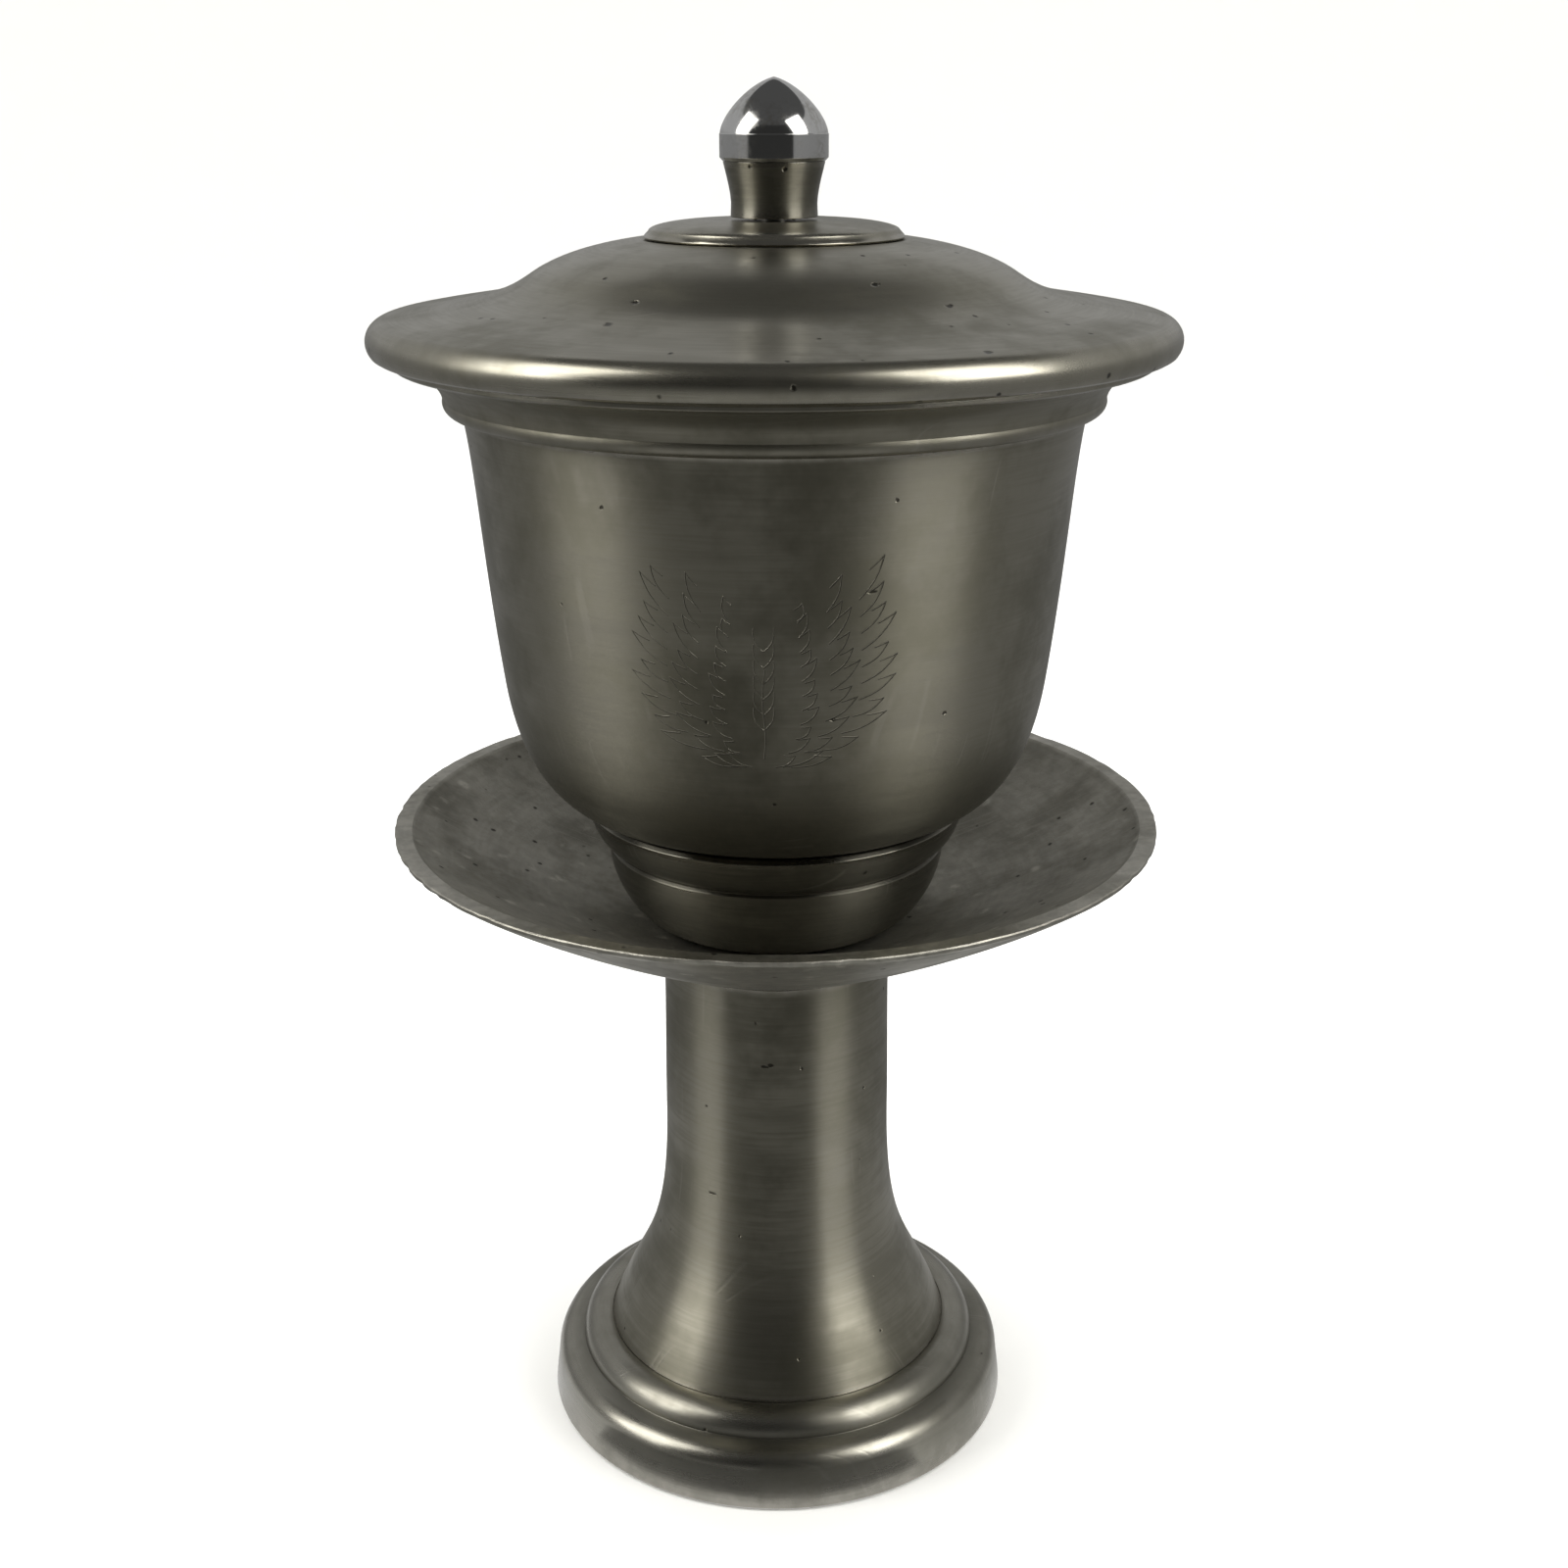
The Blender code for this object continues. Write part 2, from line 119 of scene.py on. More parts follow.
@dataclass
class Section:
    """Outline of a turned piece, drawn from one end to the other."""

    points: list[Point] = field(default_factory=list)

    def to(self, *corners: Point) -> "Section":
        """Add straight runs through the corners."""
        self.points.extend(corners)
        return self

    def curve(self, start: Point, lead: Point, trail: Point, end: Point, steps: int) -> "Section":
        """Add a cubic curve with both of its ends.

        Args:
            start: First point.
            lead: Handle of the first point.
            trail: Handle of the last point.
            end: Last point.
            steps: Number of straight runs that stand for the curve.

        Returns:
            The section itself.
        """
        for step in range(steps + 1):
            t = step / steps
            s = 1.0 - t
            weights = (s * s * s, 3.0 * s * s * t, 3.0 * s * t * t, t * t * t)
            radius = sum(w * corner[0] for w, corner in zip(weights, (start, lead, trail, end)))
            height = sum(w * corner[1] for w, corner in zip(weights, (start, lead, trail, end)))
            if not self.points or math.dist(self.points[-1], (radius, height)) > SAME_POINT:
                self.points.append((radius, height))
        return self

    def arc(self, centre: Point, radius: float, start: float, end: float, steps: int) -> "Section":
        """Add a circular arc with both of its ends.

        Args:
            centre: The arc's centre.
            radius: The arc's radius.
            start: Angle of the first point, in degrees from the outward direction.
            end: Angle of the last point, in degrees.
            steps: Number of straight runs that stand for the arc.

        Returns:
            The section itself.
        """
        for step in range(steps + 1):
            angle = math.radians(start + (end - start) * step / steps)
            spot = (centre[0] + radius * math.cos(angle), centre[1] + radius * math.sin(angle))
            self.points.append(spot)
        return self

    def closed(self) -> bool:
        """Tell whether the outline closes on itself instead of ending on the axis."""
        return self.points[0][0] > SAME_POINT

    def softened(self, radius: float, least: float = 24.0, steps: int = 4, held: float = 0.4) -> "Section":
        """Round every corner that turns more than a limit.

        Args:
            radius: Radius of the rounding.
            least: The least turn, in degrees, that counts as a corner.
            steps: Number of straight runs that stand for a rounding.
            held: Length of the held run on each side, as a share of the cut.

        Returns:
            A new section with rounded corners.
        """
        count = len(self.points)
        made: list[Point] = []
        for index, here in enumerate(self.points):
            if not self.closed() and index in (0, count - 1):
                made.append(here)
                continue
            before = Vector(self.points[index - 1]) - Vector(here)
            after = Vector(self.points[(index + 1) % count]) - Vector(here)
            bend = math.pi - before.angle(after)
            if math.degrees(bend) < least:
                made.append(here)
                continue
            cut = min(radius * math.tan(bend / 2.0), 0.3 * before.length, 0.3 * after.length)
            first = Vector(here) + before.normalized() * cut
            last = Vector(here) + after.normalized() * cut
            made.append(tuple(first + before.normalized() * cut * held))
            for step in range(steps + 1):
                t = step / steps
                spot = first * (1.0 - t) ** 2 + Vector(here) * 2.0 * t * (1.0 - t) + last * t * t
                made.append(tuple(spot))
            made.append(tuple(last + after.normalized() * cut * held))
        return Section(made)

    def lengths(self) -> list[float]:
        """Return the distance along the outline of each point.

        Returns:
            One distance in mm for each point, starting at 0.
        """
        total = 0.0
        found = [0.0]
        for one, two in zip(self.points, self.points[1:]):
            total += math.dist(one, two)
            found.append(total)
        return found

    def bends(self, reach: float) -> list[float]:
        """Return how strongly the outline bends near each point, outwards positive.

        Args:
            reach: Distance over which a bend is felt, in millimetres.

        Returns:
            One value for each point: the radians turned nearby, negative in a hollow.
        """
        count = len(self.points)
        area = 0.0
        for index in range(count):
            x1, y1 = self.points[index]
            x2, y2 = self.points[(index + 1) % count]
            area += x1 * y2 - x2 * y1
        turn_sign = 1.0 if area > 0.0 else -1.0
        turns = [0.0] * count
        for index in range(count):
            if not self.closed() and index in (0, count - 1):
                continue
            here = Vector(self.points[index])
            before = here - Vector(self.points[index - 1])
            after = Vector(self.points[(index + 1) % count]) - here
            if min(before.length, after.length) > NO_LENGTH:
                turns[index] = -turn_sign * before.angle_signed(after)
        along = self.lengths()
        felt = []
        for spot in along:
            near = [t * math.exp(-((spot - other) / reach) ** 2) for t, other in zip(turns, along)]
            felt.append(sum(near))
        return felt

    def radius_at(self, height: float) -> float:
        """Return the outline's greatest radius at a height.

        Args:
            height: Level in mm.

        Returns:
            The radius in mm, or 0 where the outline has no such level.
        """
        found = 0.0
        for (r1, h1), (r2, h2) in zip(self.points, self.points[1:]):
            if min(h1, h2) <= height <= max(h1, h2) and abs(h2 - h1) > NO_LENGTH:
                found = max(found, r1 + (r2 - r1) * (height - h1) / (h2 - h1))
        return found


class Graph:
    """Short calls that lay out nodes in one node tree."""

    def __init__(self, tree: bpy.types.NodeTree) -> None:
        """Keep the tree that the nodes go into."""
        self.tree = tree

    def node(self, kind: str, **settings: object) -> Node:
        """Add a node and set its properties.

        Args:
            kind: Type name of the node.
            settings: Properties of the node and their values.

        Returns:
            The new node.
        """
        made = self.tree.nodes.new(kind)
        for name, value in settings.items():
            setattr(made, name, value)
        return made

    def feed(self, socket: Socket, source: object) -> None:
        """Link a socket to another, or set its own value.

        Args:
            socket: Input to feed.
            source: Output socket to link, or a plain value.
        """
        if isinstance(source, Socket):
            self.tree.links.new(source, socket)
        else:
            socket.default_value = source

    def fed(self, made: Node, *sources: object) -> Node:
        """Feed a node's first inputs in order and return the node.

        Args:
            made: Node to feed.
            sources: Output sockets or plain values, one for each input.

        Returns:
            The same node.
        """
        for socket, source in zip(made.inputs, sources):
            self.feed(socket, source)
        return made

    def math(self, operation: str, first: object, second: object = 0.0, clamp: bool = False) -> Socket:
        """Add a Math node and return its result, kept from 0 to 1 if clamp is set."""
        made = self.node("ShaderNodeMath", operation=operation, use_clamp=clamp)
        return self.fed(made, first, second).outputs[0]

    def times(self, first: object, second: object, clamp: bool = False) -> Socket:
        """Multiply two values."""
        return self.math("MULTIPLY", first, second, clamp)

    def plus(self, first: object, second: object) -> Socket:
        """Add two values."""
        return self.math("ADD", first, second)

    def minus(self, first: object, second: object, clamp: bool = False) -> Socket:
        """Take the second value from the first."""
        return self.math("SUBTRACT", first, second, clamp)

    def vector(self, x: object, y: object, z: object) -> Socket:
        """Join three values into a vector."""
        return self.fed(self.node("ShaderNodeCombineXYZ"), x, y, z).outputs[0]

    def split(self, source: object) -> Iterable[Socket]:
        """Return the three parts of a vector."""
        return self.fed(self.node("ShaderNodeSeparateXYZ"), source).outputs

    def vector_math(self, operation: str, *sources: object) -> Node:
        """Add a Vector Math node and feed its vectors."""
        return self.fed(self.node("ShaderNodeVectorMath", operation=operation), *sources)

    def place(self) -> Socket:
        """Return the shaded point in the object's coordinates, in metres."""
        return self.node("ShaderNodeTexCoord").outputs["Object"]

    def noise(self, place: object, scale: object, detail: float, roughness: float = 0.5) -> Socket:
        """Add a Noise Texture.

        Args:
            place: Coordinates that the noise is read at.
            scale: The texture's scale.
            detail: Number of octaves.
            roughness: Weight of the finer octaves.

        Returns:
            The noise value, about 0.5 on average.
        """
        made = self.node("ShaderNodeTexNoise")
        sources = {"Vector": place, "Scale": scale, "Detail": detail, "Roughness": roughness}
        for key, source in sources.items():
            self.feed(made.inputs[key], source)
        return made.outputs[0]

    def remap(self, value: object, low: object, high: object, start: object = 0.0,
              end: object = 1.0) -> Socket:
        """Stretch a value from one range to another, smoothly and clamped.

        Args:
            value: Value or socket to stretch.
            low: Value that gives start.
            high: Value that gives end.
            start: Result at low.
            end: Result at high.

        Returns:
            The stretched value.
        """
        made = self.node("ShaderNodeMapRange", interpolation_type="SMOOTHSTEP", clamp=True)
        return self.fed(made, value, low, high, start, end).outputs[0]

    def mix(self, factor: object, first: object, second: object) -> Socket:
        """Mix two colours by a factor.

        Args:
            factor: Share of the second colour.
            first: Colour at factor 0.
            second: Colour at factor 1.

        Returns:
            The mixed colour.
        """
        made = self.node("ShaderNodeMix", data_type="RGBA")
        for index, source in ((0, factor), (6, first), (7, second)):
            self.feed(made.inputs[index], source)
        return made.outputs[2]

    def group(self, name: str, **values: object) -> Node:
        """Place a node group and feed its named inputs.

        Args:
            name: Name of the node group.
            values: Output sockets or plain values, by input name.

        Returns:
            The group node.
        """
        made = self.node("ShaderNodeGroup", node_tree=bpy.data.node_groups[name])
        for key, source in values.items():
            self.feed(made.inputs[key], source)
        return made

    def relief(self, shader: Node, height: Socket) -> None:
        """Let a height in metres bend the shader's normal.

        Args:
            shader: Principled node whose normal is bent.
            height: Height in metres.
        """
        bump = self.node("ShaderNodeBump")
        self.feed(bump.inputs["Distance"], 1.0)
        self.feed(bump.inputs["Height"], height)
        self.feed(shader.inputs["Normal"], bump.outputs[0])


def start_material(name: str) -> tuple[bpy.types.Material, Graph, Node]:
    """Make a material and return it with its graph and its Principled node.

    Args:
        name: Name of the material.

    Returns:
        The material, its graph and its Principled node.
    """
    made = bpy.data.materials.new(name)
    made.use_nodes = True
    return made, Graph(made.node_tree), made.node_tree.nodes["Principled BSDF"]


class Effects:
    """The node groups that several finishes share."""

    MARKS = "turning_marks"
    STAINS = "stains"
    PITS = "pits"
    SCRATCHES = "scratches"
    BROAD_TO_FINE = 0.22
    WOBBLE_SCALE = 1400.0
    WOBBLE = 0.35
    SCRATCH_RUNS = ((0.9, 0.3, 0.4), (-0.6, 0.3, 2.1), (0.35, 0.3, 1.2))
    SCRATCH_STRETCH = (4.0, 150.0, 4.0)

    @staticmethod
    def start(name: str, inputs: dict[str, float], outputs: tuple[str, ...]) -> tuple[Graph, Node, Node]:
        """Make an empty group with named sockets.

        Args:
            name: The group's name.
            inputs: Each input's name and usual value.
            outputs: Each output's name.

        Returns:
            The group's graph, its input node and its output node.
        """
        tree = bpy.data.node_groups.new(name, "ShaderNodeTree")
        for key, value in inputs.items():
            socket = tree.interface.new_socket(key, in_out="INPUT", socket_type="NodeSocketFloat")
            socket.default_value = value
        for key in outputs:
            tree.interface.new_socket(key, in_out="OUTPUT", socket_type="NodeSocketFloat")
        graph = Graph(tree)
        return graph, graph.node("NodeGroupInput"), graph.node("NodeGroupOutput")

    @classmethod
    def build(cls) -> None:
        """Make every group once."""
        cls.turning_marks()
        cls.stains()
        cls.pits()
        cls.scratches()

    @classmethod
    def turning_marks(cls) -> None:
        """Fine rings left by the lathe, broken up round the piece."""
        graph, given, made = cls.start(cls.MARKS, {"Rings": 4.0, "Breaks": 5.0}, ("Height", "Bands"))
        turn, run, _ = graph.split(graph.node("ShaderNodeUVMap", uv_map=UV_NAME).outputs[0])
        angle = graph.times(turn, math.tau)
        across = graph.times(graph.math("COSINE", angle), given.outputs["Breaks"])
        aside = graph.times(graph.math("SINE", angle), given.outputs["Breaks"])
        along = graph.times(graph.times(run, given.outputs["Rings"]), 1.0 / UV_PER_MM)
        fine = graph.noise(graph.vector(across, aside, along), 1.0, 3.0, 0.6)
        broad_place = graph.vector(across, aside, graph.times(along, cls.BROAD_TO_FINE))
        broad = graph.noise(broad_place, 0.6, 3.0, 0.55)
        height = graph.plus(graph.times(fine, 0.65), graph.times(broad, 0.35))
        streaks = graph.plus(graph.times(fine, 0.5), graph.times(broad, 0.5))
        graph.fed(made, height, graph.remap(streaks, 0.38, 0.62))

    @classmethod
    def stains(cls) -> None:
        """Cloudy tarnish, a fine mottle over it and the slow waves of a handled surface."""
        graph, given, made = cls.start(cls.STAINS, {"Scale": 60.0}, ("Tarnish", "Mottle", "Waves"))
        place = graph.place()
        cloud = graph.noise(place, given.outputs["Scale"], 5.0, 0.62)
        fleck = graph.noise(place, graph.times(given.outputs["Scale"], 6.0), 4.0, 0.6)
        waves = graph.noise(place, 45.0, 1.0)
        graph.fed(made, graph.remap(cloud, 0.42, 0.66), graph.remap(fleck, 0.35, 0.65), waves)

    @classmethod
    def pits(cls) -> None:
        """Small pits and knocks with ragged edges, a few to each square centimetre."""
        graph, given, made = cls.start(cls.PITS, {"Spacing": 5.0, "Radius": 0.3, "Share": 0.7}, ("Mask",))
        place = graph.place()
        wobble = graph.node("ShaderNodeTexNoise")
        graph.feed(wobble.inputs["Vector"], place)
        graph.feed(wobble.inputs["Scale"], cls.WOBBLE_SCALE)
        shift = graph.vector_math("MULTIPLY", wobble.outputs["Color"], (cls.WOBBLE * MM,) * 3)
        moved = graph.vector_math("ADD", place, shift.outputs[0])
        cells = graph.node("ShaderNodeTexVoronoi")
        graph.feed(cells.inputs["Vector"], moved.outputs[0])
        graph.feed(cells.inputs["Scale"], graph.math("DIVIDE", 1.0 / MM, given.outputs["Spacing"]))
        size = graph.math("DIVIDE", given.outputs["Radius"], given.outputs["Spacing"])
        spot = graph.remap(cells.outputs["Distance"], graph.times(size, 0.4), size, 1.0, 0.0)
        chance, _, _ = graph.split(cells.outputs["Color"])
        graph.fed(made, graph.times(spot, graph.math("LESS_THAN", chance, given.outputs["Share"])))

    @classmethod
    def scratches(cls) -> None:
        """Stray hairline scratches that cross the turning marks."""
        graph, given, made = cls.start(cls.SCRATCHES, {"Width": 0.011}, ("Lines",))
        place = graph.place()
        patches = graph.remap(graph.noise(place, 90.0, 1.0), 0.55, 0.63)
        total: object = 0.0
        for turned in cls.SCRATCH_RUNS:
            laid = graph.node("ShaderNodeMapping")
            graph.feed(laid.inputs["Vector"], place)
            graph.feed(laid.inputs["Rotation"], turned)
            graph.feed(laid.inputs["Scale"], cls.SCRATCH_STRETCH)
            drift = graph.math("ABSOLUTE", graph.minus(graph.noise(laid.outputs[0], 1.0, 0.0), 0.5))
            total = graph.plus(graph.remap(drift, 0.0, given.outputs["Width"], 1.0, 0.0), total)
        graph.fed(made, graph.times(total, patches, clamp=True))


@dataclass(frozen=True)
class Layers:
    """What the chains of one pewter material read."""

    marks: Node
    stains: Node
    holes: Socket
    wear: Socket
    hollow_shade: Socket
    scratched: Socket


@dataclass(frozen=True)
class PewterFinish:
    """Pewter off the lathe or out of the mould, dulled by handling."""

    name: str
    slot: Slot = Slot.SATIN
    colour: Colour = (0.315, 0.30, 0.246, 1.0)
    tarnish: Colour = (0.205, 0.196, 0.152, 1.0)
    tarnish_share: float = 0.8
    pale: Colour = (0.50, 0.475, 0.42, 1.0)
    pale_share: float = 0.0
    pale_spacing: float = 3.4
    pale_radius: float = 1.1
    blotch: Colour = (0.14, 0.138, 0.12, 1.0)
    band_share: float = 0.3
    rubbed_share: float = 0.5
    stain_scale: float = 60.0
    roughness: float = 0.40
    tarnish_dulling: float = 0.10
    band_dulling: float = 0.05
    rubbed_polish: float = 0.14
    anisotropy: float = 0.8
    grain_turn: float = 0.25
    rings: float = 4.0
    ring_breaks: float = 5.0
    ring_depth: float = 0.010
    mottle_depth: float = 0.0
    wave_depth: float = 0.03
    pit_spacing: float = 5.0
    pit_radius: float = 0.3
    pit_share: float = 0.7
    hole_depth: float = 0.06
    hole_colour: Colour = (0.035, 0.032, 0.025, 1.0)
    nicks: tuple[Spot, ...] = ()
    nick_stretch: Spot = (0.9, 0.6, 2.2)
    nick_core: float = 0.5
    nick_edge: float = 0.8
    scratch_depth: float = 0.006
    scratch_share: float = 0.13
    # The next two fields paint shade into the section's hollows.
    hollow_shade_colour: Colour = (0.075, 0.072, 0.06, 1.0)
    hollow_shade_share: float = 0.4
    # The four fields below paint shade: the colour darkens towards the bottom of the piece, between two
    # heights in mm.
    painted_shade: Colour = (0.10, 0.096, 0.075, 1.0)
    painted_shade_share: float = 0.0
    painted_shade_bottom: float = 0.0
    painted_shade_top: float = 1.0

    def material(self) -> bpy.types.Material:
        """Build the finish once and return its material.

        Returns:
            The finished material.
        """
        if self.name in bpy.data.materials:
            return bpy.data.materials[self.name]
        made, graph, shader = start_material(self.name)
        pits = graph.group(
            Effects.PITS, Spacing=self.pit_spacing, Radius=self.pit_radius, Share=self.pit_share)
        layers = Layers(
            marks=graph.group(Effects.MARKS, Rings=self.rings, Breaks=self.ring_breaks),
            stains=graph.group(Effects.STAINS, Scale=self.stain_scale),
            holes=graph.math("MAXIMUM", pits.outputs["Mask"], self.nick_mask(graph)),
            wear=graph.node("ShaderNodeAttribute", attribute_name="wear").outputs["Fac"],
            # The hollows mask, which darkens the colour as painted shade.
            hollow_shade=graph.node("ShaderNodeAttribute", attribute_name="hollow_shade").outputs["Fac"],
            scratched=graph.group(Effects.SCRATCHES).outputs["Lines"])
        graph.feed(shader.inputs["Base Color"], self.colour_chain(graph, layers))
        graph.feed(shader.inputs["Roughness"], self.roughness_chain(graph, layers))
        graph.relief(shader, self.relief_chain(graph, layers))
        shader.inputs["Metallic"].default_value = 1.0
        shader.inputs["Anisotropic"].default_value = self.anisotropy
        shader.inputs["Anisotropic Rotation"].default_value = self.grain_turn
        tangent = graph.node("ShaderNodeTangent", direction_type="UV_MAP", uv_map=UV_NAME)
        graph.feed(shader.inputs["Tangent"], tangent.outputs[0])
        return made

    def nick_mask(self, graph: Graph) -> object:
        """Mark the few deeper nicks that this piece has at known places.

        Args:
            graph: The material's graph.

        Returns:
            A value that is 1 in a nick and 0 elsewhere.
        """
        place = graph.place()
        ragged = graph.times(graph.noise(place, 1800.0, 2.0), 0.6 * MM)
        total: object = 0.0
        for spot in self.nicks:
            away = graph.vector_math("SUBTRACT", place, tuple(value * MM for value in spot))
            flat = graph.vector_math("MULTIPLY", away.outputs[0], self.nick_stretch)
            reach = graph.vector_math("LENGTH", flat.outputs[0])
            distance = graph.plus(reach.outputs["Value"], ragged)
            nick = graph.remap(distance, self.nick_core * MM, self.nick_edge * MM, 1.0, 0.0)
            total = graph.math("MAXIMUM", total, nick)
        return total

    def colour_chain(self, graph: Graph, layers: Layers) -> Socket:
        """Lay tarnish, blotches, painted shade towards the bottom, rubbed edges, painted shade in hollows
        and pits over the bare metal.

        Args:
            graph: The material's graph.
            layers: What the chain reads.

        Returns:
            The metal's colour.
        """
        mottle = layers.stains.outputs["Mottle"]
        stained = graph.times(layers.stains.outputs["Tarnish"], self.tarnish_share)
        colour = graph.mix(stained, self.colour, self.tarnish)
        colour = graph.mix(graph.times(layers.marks.outputs["Bands"], self.band_share), colour, self.tarnish)
        if self.pale_share > 0.0:
            speck = graph.group(
                Effects.PITS, Spacing=self.pale_spacing, Radius=self.pale_radius, Share=self.pale_share)
            soft = graph.times(speck.outputs["Mask"], mottle)
            colour = graph.mix(graph.times(soft, 0.7), colour, self.pale)
            colour = graph.mix(graph.times(graph.minus(1.0, mottle), 0.22), colour, self.blotch)
        # Painted shade: the colour darkens towards the bottom of the piece.
        if self.painted_shade_share > 0.0:
            _, _, height = graph.split(graph.place())
            shaded = graph.remap(height, self.painted_shade_bottom * MM, self.painted_shade_top * MM, self.painted_shade_share, 0.0)
            colour = graph.mix(shaded, colour, self.painted_shade)
        patchy = graph.plus(graph.times(mottle, 0.8), 0.4)
        rubbed = graph.times(graph.times(layers.wear, self.rubbed_share), patchy, clamp=True)
        colour = graph.mix(rubbed, colour, self.pale)
        colour = graph.mix(graph.times(layers.scratched, self.scratch_share), colour, self.pale)
        # Painted shade: the section's hollows are darkened.
        hollow_shaded = graph.times(layers.hollow_shade, self.hollow_shade_share, clamp=True)
        colour = graph.mix(hollow_shaded, colour, self.hollow_shade_colour)
        return graph.mix(graph.times(layers.holes, 0.85), colour, self.hole_colour)

    def roughness_chain(self, graph: Graph, layers: Layers) -> Socket:
        """Make tarnish duller, and rubbed edges and some turned bands smoother.

        Args:
            graph: The material's graph.
            layers: What the chain reads.

        Returns:
            The metal's roughness.
        """
        dull = graph.times(layers.stains.outputs["Tarnish"], self.tarnish_dulling)
        banded = graph.times(graph.minus(layers.marks.outputs["Bands"], 0.5), self.band_dulling)
        level = graph.plus(graph.plus(dull, self.roughness), banded)
        polished = graph.times(layers.wear, self.rubbed_polish, clamp=True)
        return graph.minus(level, polished, clamp=True)

    def relief_chain(self, graph: Graph, layers: Layers) -> Socket:
        """Raise the marks, sink the pits and scratches and let the surface wave slightly.

        Args:
            graph: The material's graph.
            layers: What the chain reads.

        Returns:
            The height in metres.
        """
        height = graph.times(layers.marks.outputs["Height"], self.ring_depth * MM)
        height = graph.minus(height, graph.times(layers.holes, self.hole_depth * MM))
        height = graph.minus(height, graph.times(layers.scratched, self.scratch_depth * MM))
        height = graph.plus(height, graph.times(layers.stains.outputs["Waves"], self.wave_depth * MM))
        if self.mottle_depth > 0.0:
            height = graph.plus(height, graph.times(layers.stains.outputs["Mottle"], self.mottle_depth * MM))
        return height


@dataclass(frozen=True)
class BrightFinish:
    """Polished or plain machined metal with light handling marks."""

    name: str
    slot: Slot
    colour: Colour
    smudge_colour: Colour
    roughness: float
    smudge_roughness: float
    ring_depth: float = 0.0
    smudge_scale: float = 260.0
    rings: float = 9.0
    ring_breaks: float = 3.0

    def material(self) -> bpy.types.Material:
        """Build the finish once and return its material.

        Returns:
            The finished material.
        """
        if self.name in bpy.data.materials:
            return bpy.data.materials[self.name]
        made, graph, shader = start_material(self.name)
        stains = graph.group(Effects.STAINS, Scale=self.smudge_scale)
        marks = graph.group(Effects.MARKS, Rings=self.rings, Breaks=self.ring_breaks)
        smudge = graph.times(stains.outputs["Tarnish"], stains.outputs["Mottle"])
        graph.feed(shader.inputs["Base Color"], graph.mix(smudge, self.colour, self.smudge_colour))
        level = graph.plus(graph.times(smudge, self.smudge_roughness), self.roughness)
        graph.feed(shader.inputs["Roughness"], level)
        graph.relief(shader, graph.times(marks.outputs["Height"], self.ring_depth * MM))
        shader.inputs["Metallic"].default_value = 1.0
        return made


# The bowl gets painted shade that deepens from 97 mm down to 82 mm, on the belly under the wall.
SATIN = PewterFinish(
    "satin_pewter_bowl", rings=3.0, ring_breaks=3.0, tarnish_share=0.95, ring_depth=0.009, wave_depth=0.015,
    roughness=0.37, anisotropy=0.88, nicks=((9.7, -31.7, 112.8), (5.9, -31.2, 99.4)),
    painted_shade_share=0.6, painted_shade_bottom=82.0, painted_shade_top=97.0)
LID_SATIN = PewterFinish(
    "satin_pewter_lid", colour=(0.36, 0.344, 0.284, 1.0), tarnish=(0.235, 0.225, 0.178, 1.0), roughness=0.31,
    anisotropy=0.35, rings=3.0, ring_depth=0.006, tarnish_share=0.95,
    pit_spacing=3.8, pit_radius=0.38, pit_share=0.8, nicks=(
        (-13.5, -24.6, 140.1), (10.0, -23.4, 141.7), (17.3, -23.3, 139.6), (19.9, -37.0, 136.8),
        (-15.9, -28.3, 138.4)))
BRUSHED = PewterFinish(
    "brushed_pewter_stem", rings=2.2, ring_breaks=1.6, ring_depth=0.014, band_share=0.5, wave_depth=0.01,
    roughness=0.355, anisotropy=0.93, nicks=((-1.4, -13.7, 51.1), (-0.7, -13.7, 51.3), (-7.8, -11.7, 32.9)))
NECK_BRUSHED = PewterFinish(
    "brushed_pewter_neck", colour=(0.23, 0.22, 0.182, 1.0), tarnish=(0.14, 0.134, 0.107, 1.0), rings=2.6,
    ring_breaks=2.0, ring_depth=0.014, band_share=0.5, rubbed_share=0.25, roughness=0.36, anisotropy=0.85)
# The foot's colour and tarnish are darkened as painted shade under the bowl.
FOOT_BRUSHED_PAINTED_SHADE = replace(
    NECK_BRUSHED, name="brushed_pewter_foot", colour=(0.185, 0.177, 0.146, 1.0),
    tarnish=(0.10, 0.096, 0.077, 1.0), rings=1.8, ring_depth=0.02, rubbed_share=0.1, roughness=0.33,
    anisotropy=0.9)
BASE_SATIN = PewterFinish(
    "satin_pewter_base", colour=(0.325, 0.315, 0.272, 1.0), tarnish=(0.212, 0.205, 0.168, 1.0), rings=3.0,
    ring_depth=0.013, wave_depth=0.012, roughness=0.315, anisotropy=0.7)
LIP_SATIN = replace(
    SATIN, name="satin_pewter_lip", nicks=(), painted_shade_share=0.0, rubbed_share=0.2, roughness=0.41,
    anisotropy=0.5)
CAST = PewterFinish(
    "cast_pewter_saucer", Slot.CAST, colour=(0.40, 0.385, 0.335, 1.0), tarnish=(0.27, 0.26, 0.22, 1.0),
    pale=(0.62, 0.60, 0.53, 1.0), pale_share=0.45, rubbed_share=0.35, stain_scale=90.0, roughness=0.5,
    anisotropy=0.0, rings=1.2, ring_depth=0.006, mottle_depth=0.02, wave_depth=0.08, pit_spacing=3.2,
    pit_radius=0.42, pit_share=0.7)
MIRROR = BrightFinish(
    "polished_finial", Slot.POLISHED, (0.60, 0.60, 0.59, 1.0), (0.42, 0.41, 0.38, 1.0), 0.10, 0.14)
STEEL = BrightFinish(
    "plain_fastener_steel", Slot.STEEL, (0.46, 0.46, 0.47, 1.0), (0.26, 0.25, 0.24, 1.0), 0.3, 0.2, 0.004)
